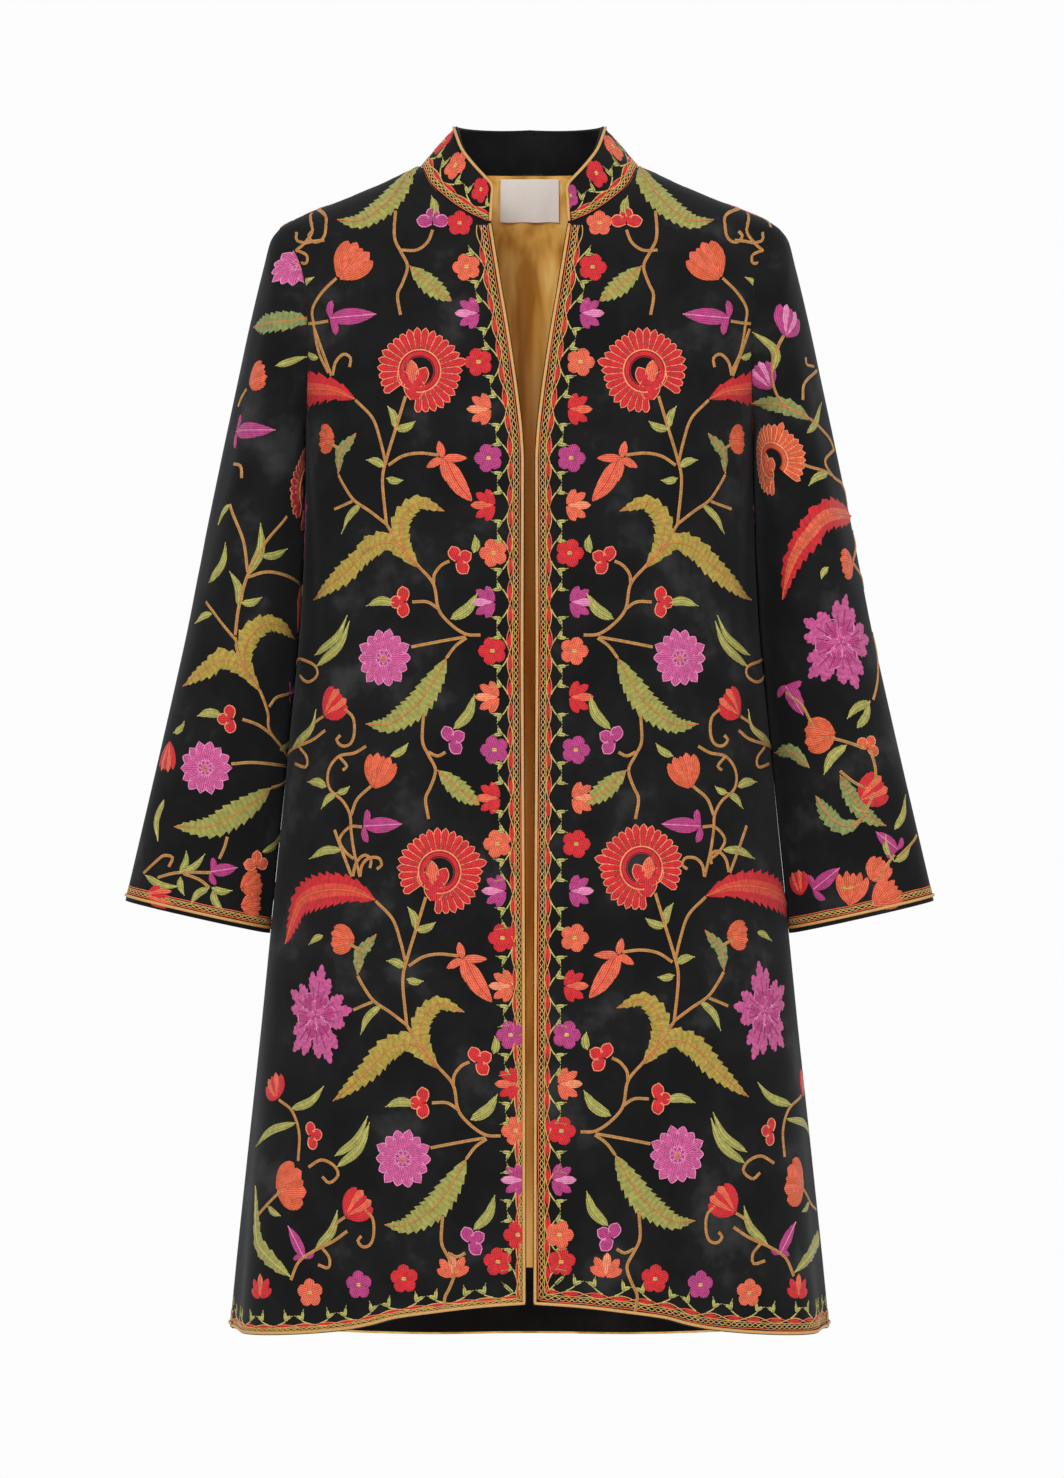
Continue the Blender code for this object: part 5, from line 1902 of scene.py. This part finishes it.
def add_sleeves():
    turns = np.linspace(0, -2 * math.pi, SLEEVE_COLUMNS + 1)
    rings = LAST_RING * np.linspace(1, 0.004, SLEEVE_ROWS + 1) ** 1.1
    turn, ring = np.meshgrid(turns, rings)
    points = sleeve_skin(turn, ring, np.zeros(turn.shape))
    made = {}
    for side, grid in (("left", points), ("right", (points * MIRROR)[:, ::-1])):
        node = f"sleeve_{side}"
        made[side] = add_shell(
            f"{node}_velvet", node, grid, PANEL_WALL, COAT_CLOTH, closed=True
        )
    return made


def collar_grid(inset, low, high):
    end = COLLAR_HALF - 0.0002
    run = np.linspace(-end, end, COLLAR_COLUMNS + 1)
    up = np.linspace(low, high, COLLAR_ROWS + 1)
    runs, ups = np.meshgrid(run, up)
    return collar_skin(runs, ups, np.full(runs.shape, -inset))[:, ::-1]


def add_collar():
    outer = collar_grid(0.0, 0.012, 1.0)
    collar = add_shell("collar_velvet", "collar", outer, COLLAR_WALL, (VELVET,))
    inner = collar_grid(COLLAR_WALL + SEAM_GAP, 0.012, 0.995)
    facing = add_shell(
        "collar_facing_velvet", "collar_facing", inner, FACING_WALL, (FACING,)
    )
    return collar, facing


def lining_depth(heights, columns):
    """How far inside the back's face the satin hangs: wide folds, and narrow ones at the neck."""
    shares = np.linspace(0, 1, columns)
    fades = ease((LINING_FOLD_TOP_HEIGHT - heights) / LINING_FOLD_FADE)
    waves = 0.5 - 0.5 * np.cos(2 * math.pi * LINING_FOLDS * shares)
    level = np.exp(-(((heights - NARROW_FOLD_HEIGHT) / NARROW_FOLD_REACH) ** 2))
    middle = np.exp(-(((shares - 0.5) / NARROW_FOLD_SHARE) ** 2))
    narrow = NARROW_FOLD_DEPTH * level * np.sin(2 * math.pi * NARROW_FOLDS * shares) * middle
    outside = PANEL_WALL + SKIN_GAP
    return outside + LINING_FOLD_DEPTH * fades * waves + NARROW_FOLD_DEPTH + narrow


def add_lining(places):
    """The satin inside the back, and the black facing inside its hem."""
    inner = places.copy()
    inset = LINING_INSET / LINING_RADIUS
    inner[..., 0] = BACK_MIDDLE + (inner[..., 0] - BACK_MIDDLE) * (1 - inset / SIDE)
    skirt = inner[1:].copy()
    skirt[0, :, 1] += SEAM_GAP
    skirt[-1, :, 1] -= NECK_INSET
    depth = lining_depth(skirt[..., 1], skirt.shape[1])
    points = body_skin(skirt[..., 0], skirt[..., 1], -depth)
    lining = add_shell(
        "back_lining_satin", "back_lining", points, LINING_WALL, (SATIN,)
    )
    hem = inner[:2].copy()
    hem[0, :, 1] += HEM_INSET
    hem[1, :, 1] -= SEAM_GAP
    lift = np.full(hem.shape[:2], -(PANEL_WALL + SKIN_GAP))
    points = body_skin(hem[..., 0], hem[..., 1], lift)
    facing = add_shell(
        "back_hem_facing_velvet", "back_hem_facing", points, FACING_WALL, (FACING,)
    )
    return lining, facing


def add_label():
    """The bare label inside the neck, with its soft waves."""
    top = BACK_NECK_HEIGHT - LABEL_TOP_DROP
    heights = np.linspace(top - LABEL_DROP, top, LABEL_ROWS + 1)
    xs = np.linspace(LABEL_WIDTH / 2, -LABEL_WIDTH / 2, LABEL_COLUMNS + 1)
    x, height = np.meshgrid(xs, heights)
    angle = BACK_MIDDLE - np.sign(x) * angle_at_x(np.abs(x), height)
    outside = PANEL_WALL + SKIN_GAP + LINING_WALL + SKIN_GAP + LABEL_GAP
    wave = LABEL_WAVE_DEPTH * np.sin(x / LABEL_WIDTH * LABEL_WAVE_TURN)
    wave = wave * ease((top - height) / LABEL_DROP)
    points = body_skin(angle, height, -(outside + wave))
    return add_shell("neck_label_satin", "neck_label", points, LABEL_WALL, (LABEL,))


def cord_tube(points, normals, closed):
    """Rings of points round a cord that stands on the cloth."""
    if closed:
        along = np.roll(points, -1, axis=0) - np.roll(points, 1, axis=0)
    else:
        along = np.gradient(points, axis=0)
    along = unit(along)
    aside = unit(np.cross(along, normals))
    out = np.cross(aside, along)
    turns = 2 * math.pi * np.arange(CORD_SIDES + 1) / CORD_SIDES
    across, up = np.cos(turns)[:, None], np.sin(turns)[:, None]
    ring = across * aside[:, None] + up * out[:, None] * CORD_FLATNESS
    tube = points[:, None] + normals[:, None] * CORD_LIFT + CORD_RADIUS * ring
    return np.concatenate((tube, tube[:1])) if closed else tube


def add_cord(name, node, points, normals, closed=False):
    """A round couched cord through points."""
    cord = add_grid(name, cord_tube(points, normals, closed))
    bpy.ops.object.mode_set(mode="EDIT")
    bpy.ops.mesh.select_all(action="SELECT")
    bpy.ops.mesh.remove_doubles(threshold=MERGE_DISTANCE)
    if not closed:
        bpy.ops.mesh.select_all(action="DESELECT")
        bpy.ops.mesh.select_non_manifold()
        bpy.ops.mesh.fill()
        bpy.ops.mesh.select_all(action="SELECT")
    bpy.ops.mesh.normals_make_consistent(inside=False)
    bpy.ops.object.mode_set(mode="OBJECT")
    cord.data.materials.append(CORD)
    cord.data.shade_smooth()
    return stand_for(cord, node)


def add_front_cords():
    """The cord down each front's edge and along its hem."""
    corner_start, corner_end = FRONT_CORD_CORNER
    down = np.linspace(FRONT_CORD_START, corner_start, 260)
    run = np.concatenate((down, np.linspace(corner_end, BORDER_END, 90)))
    plan = front_border(run, FRONT_CORD_INSET)
    made = {}
    for side, sign in (("left", 1), ("right", -1)):
        place = front_place(sign)
        lift = np.zeros(len(run))
        points, _ = place(plan[:, 0], plan[:, 1], lift)
        above, _ = place(plan[:, 0], plan[:, 1], lift + LIFT_STEP)
        normals = unit(above - points)
        made[side] = add_cord(
            f"front_{side}_gold_cord", f"front_{side}_edge_cord", points, normals
        )
    return made


def add_back_cord():
    count = 200
    first = SIDE + BACK_CORD_TURN
    angles = np.linspace(first, 2 * BACK_MIDDLE - first, count)
    heights = hem_height(angles) + BACK_CORD_RISE
    points = body_skin(angles, heights, np.zeros(count))
    normals = form_normals(body_form, angles, heights)
    return add_cord("back_hem_gold_cord", "back_hem_cord", points, normals)


def add_cuff_cords():
    count = 120
    turns = np.linspace(0, 2 * math.pi, count + 1)[:-1]
    ring = np.full(count, LAST_RING - CUFF_CORD_RINGS)
    points = sleeve_skin(turns, ring, np.zeros(count))
    normals = unit(sleeve_skin(turns, ring, np.full(count, LIFT_STEP)) - points)
    made = {}
    for side, sign in (("left", 1.0), ("right", -1.0)):
        name, mirror = f"cuff_{side}", np.array((sign, 1.0, 1.0))
        made[side] = add_cord(
            f"{name}_gold_cord", f"{name}_cord", points * mirror, normals * mirror, closed=True
        )
    return made


def add_collar_cord():
    """The cord up the collar's ends and along its top."""
    end = COLLAR_HALF - COLLAR_CORD_INSET
    up = np.linspace(0.05, 0.90, 8)
    over = np.linspace(end, -end, 160)[1:-1]
    runs = np.concatenate((np.full(len(up), end), over, np.full(len(up), -end)))
    ups = np.concatenate((up, np.full(len(over), COLLAR_CORD_UP), up[::-1]))
    points = collar_skin(runs, ups, np.zeros(len(runs)))
    normals = unit(collar_skin(runs, ups, np.full(len(runs), LIFT_STEP)) - points)
    return add_cord("collar_gold_cord", "collar_edge_cord", points, normals)


def stitch(name, place, flip, *drawings):
    """The embroidery of one panel. Flip turns its faces outward where its plan runs backwards."""
    work = Needlework(place, flip)
    for drawing in drawings:
        drawing(work)
    return work.build(f"{name}_embroidery")


def add_needlework():
    """One mesh of embroidery for each panel, or for each half of a sleeve or the back."""
    panels = (
        ("front_right", front_place(-1), True, lambda work: draw_front(work, True)),
        ("front_left", front_place(1), False, lambda work: draw_front(work, False)),
        ("back_left", back_place(1), True, draw_back_half),
        ("back_right", back_place(-1), False, draw_back_half),
    )
    made = {name: stitch(name, *rest) for name, *rest in panels}
    for side, sign, drawing in (("right", -1, draw_first_sleeve), ("left", 1, draw_second_sleeve)):
        for facing, half in ((1, "front"), (-1, "back")):
            name = f"sleeve_{side}_{half}"
            cuff = lambda work, facing=facing: draw_cuff(work, facing)
            place = sleeve_place(sign, facing)
            made[name] = stitch(name, place, sign * facing > 0, drawing, cuff)
    made["collar"] = stitch("collar", collar_place, True, draw_collar)
    return made


# Camera and light


def add_camera():
    scene = bpy.context.scene
    camera = bpy.data.objects.new("Camera", bpy.data.cameras.new("Camera"))
    scene.collection.objects.link(camera)
    camera.location = (CAMERA_X, -CAMERA_DISTANCE, CAMERA_HEIGHT - NECK_POINT_HEIGHT)
    camera.rotation_euler = (math.pi / 2, 0, 0)
    camera.data.lens = CAMERA_LENS
    camera.data.sensor_width = CAMERA_SENSOR
    scene.camera = camera


def add_area(name, place, target, size, power):
    light = bpy.data.objects.new(name, bpy.data.lights.new(name, "AREA"))
    bpy.context.scene.collection.objects.link(light)
    light.data.size = size
    light.data.energy = power
    light.location = place
    toward = np.array(target) - np.array(place)
    yaw = math.atan2(toward[1], toward[0]) - math.pi / 2
    pitch = math.atan2(toward[2], math.hypot(toward[0], toward[1]))
    light.rotation_euler = (math.pi / 2 + pitch, 0, yaw)


def add_light():
    scene = bpy.context.scene
    world = bpy.data.worlds.new("White")
    scene.world = world
    world.use_nodes = True
    background = world.node_tree.nodes["Background"]
    background.inputs["Color"].default_value = (1.0, 1.0, 1.0, 1.0)
    background.inputs["Strength"].default_value = 0.98
    scene.view_settings.view_transform = "Standard"
    middle = (0, 0, -0.45)
    add_area("Key", (-0.9, -4.2, 1.3), middle, 1.2, 95)
    add_area("Fill", (2.2, -3.4, 0.2), middle, 2.4, 30)


fronts = add_fronts()
back, places_of_back = add_back()
sleeves = add_sleeves()
collar, collar_facing = add_collar()
lining, hem_facing = add_lining(places_of_back)
label = add_label()
front_cords = add_front_cords()
back_cord = add_back_cord()
cuff_cords = add_cuff_cords()
collar_cord = add_collar_cord()
needlework = add_needlework()

add_camera()
add_light()

bpy.context.view_layer.update()
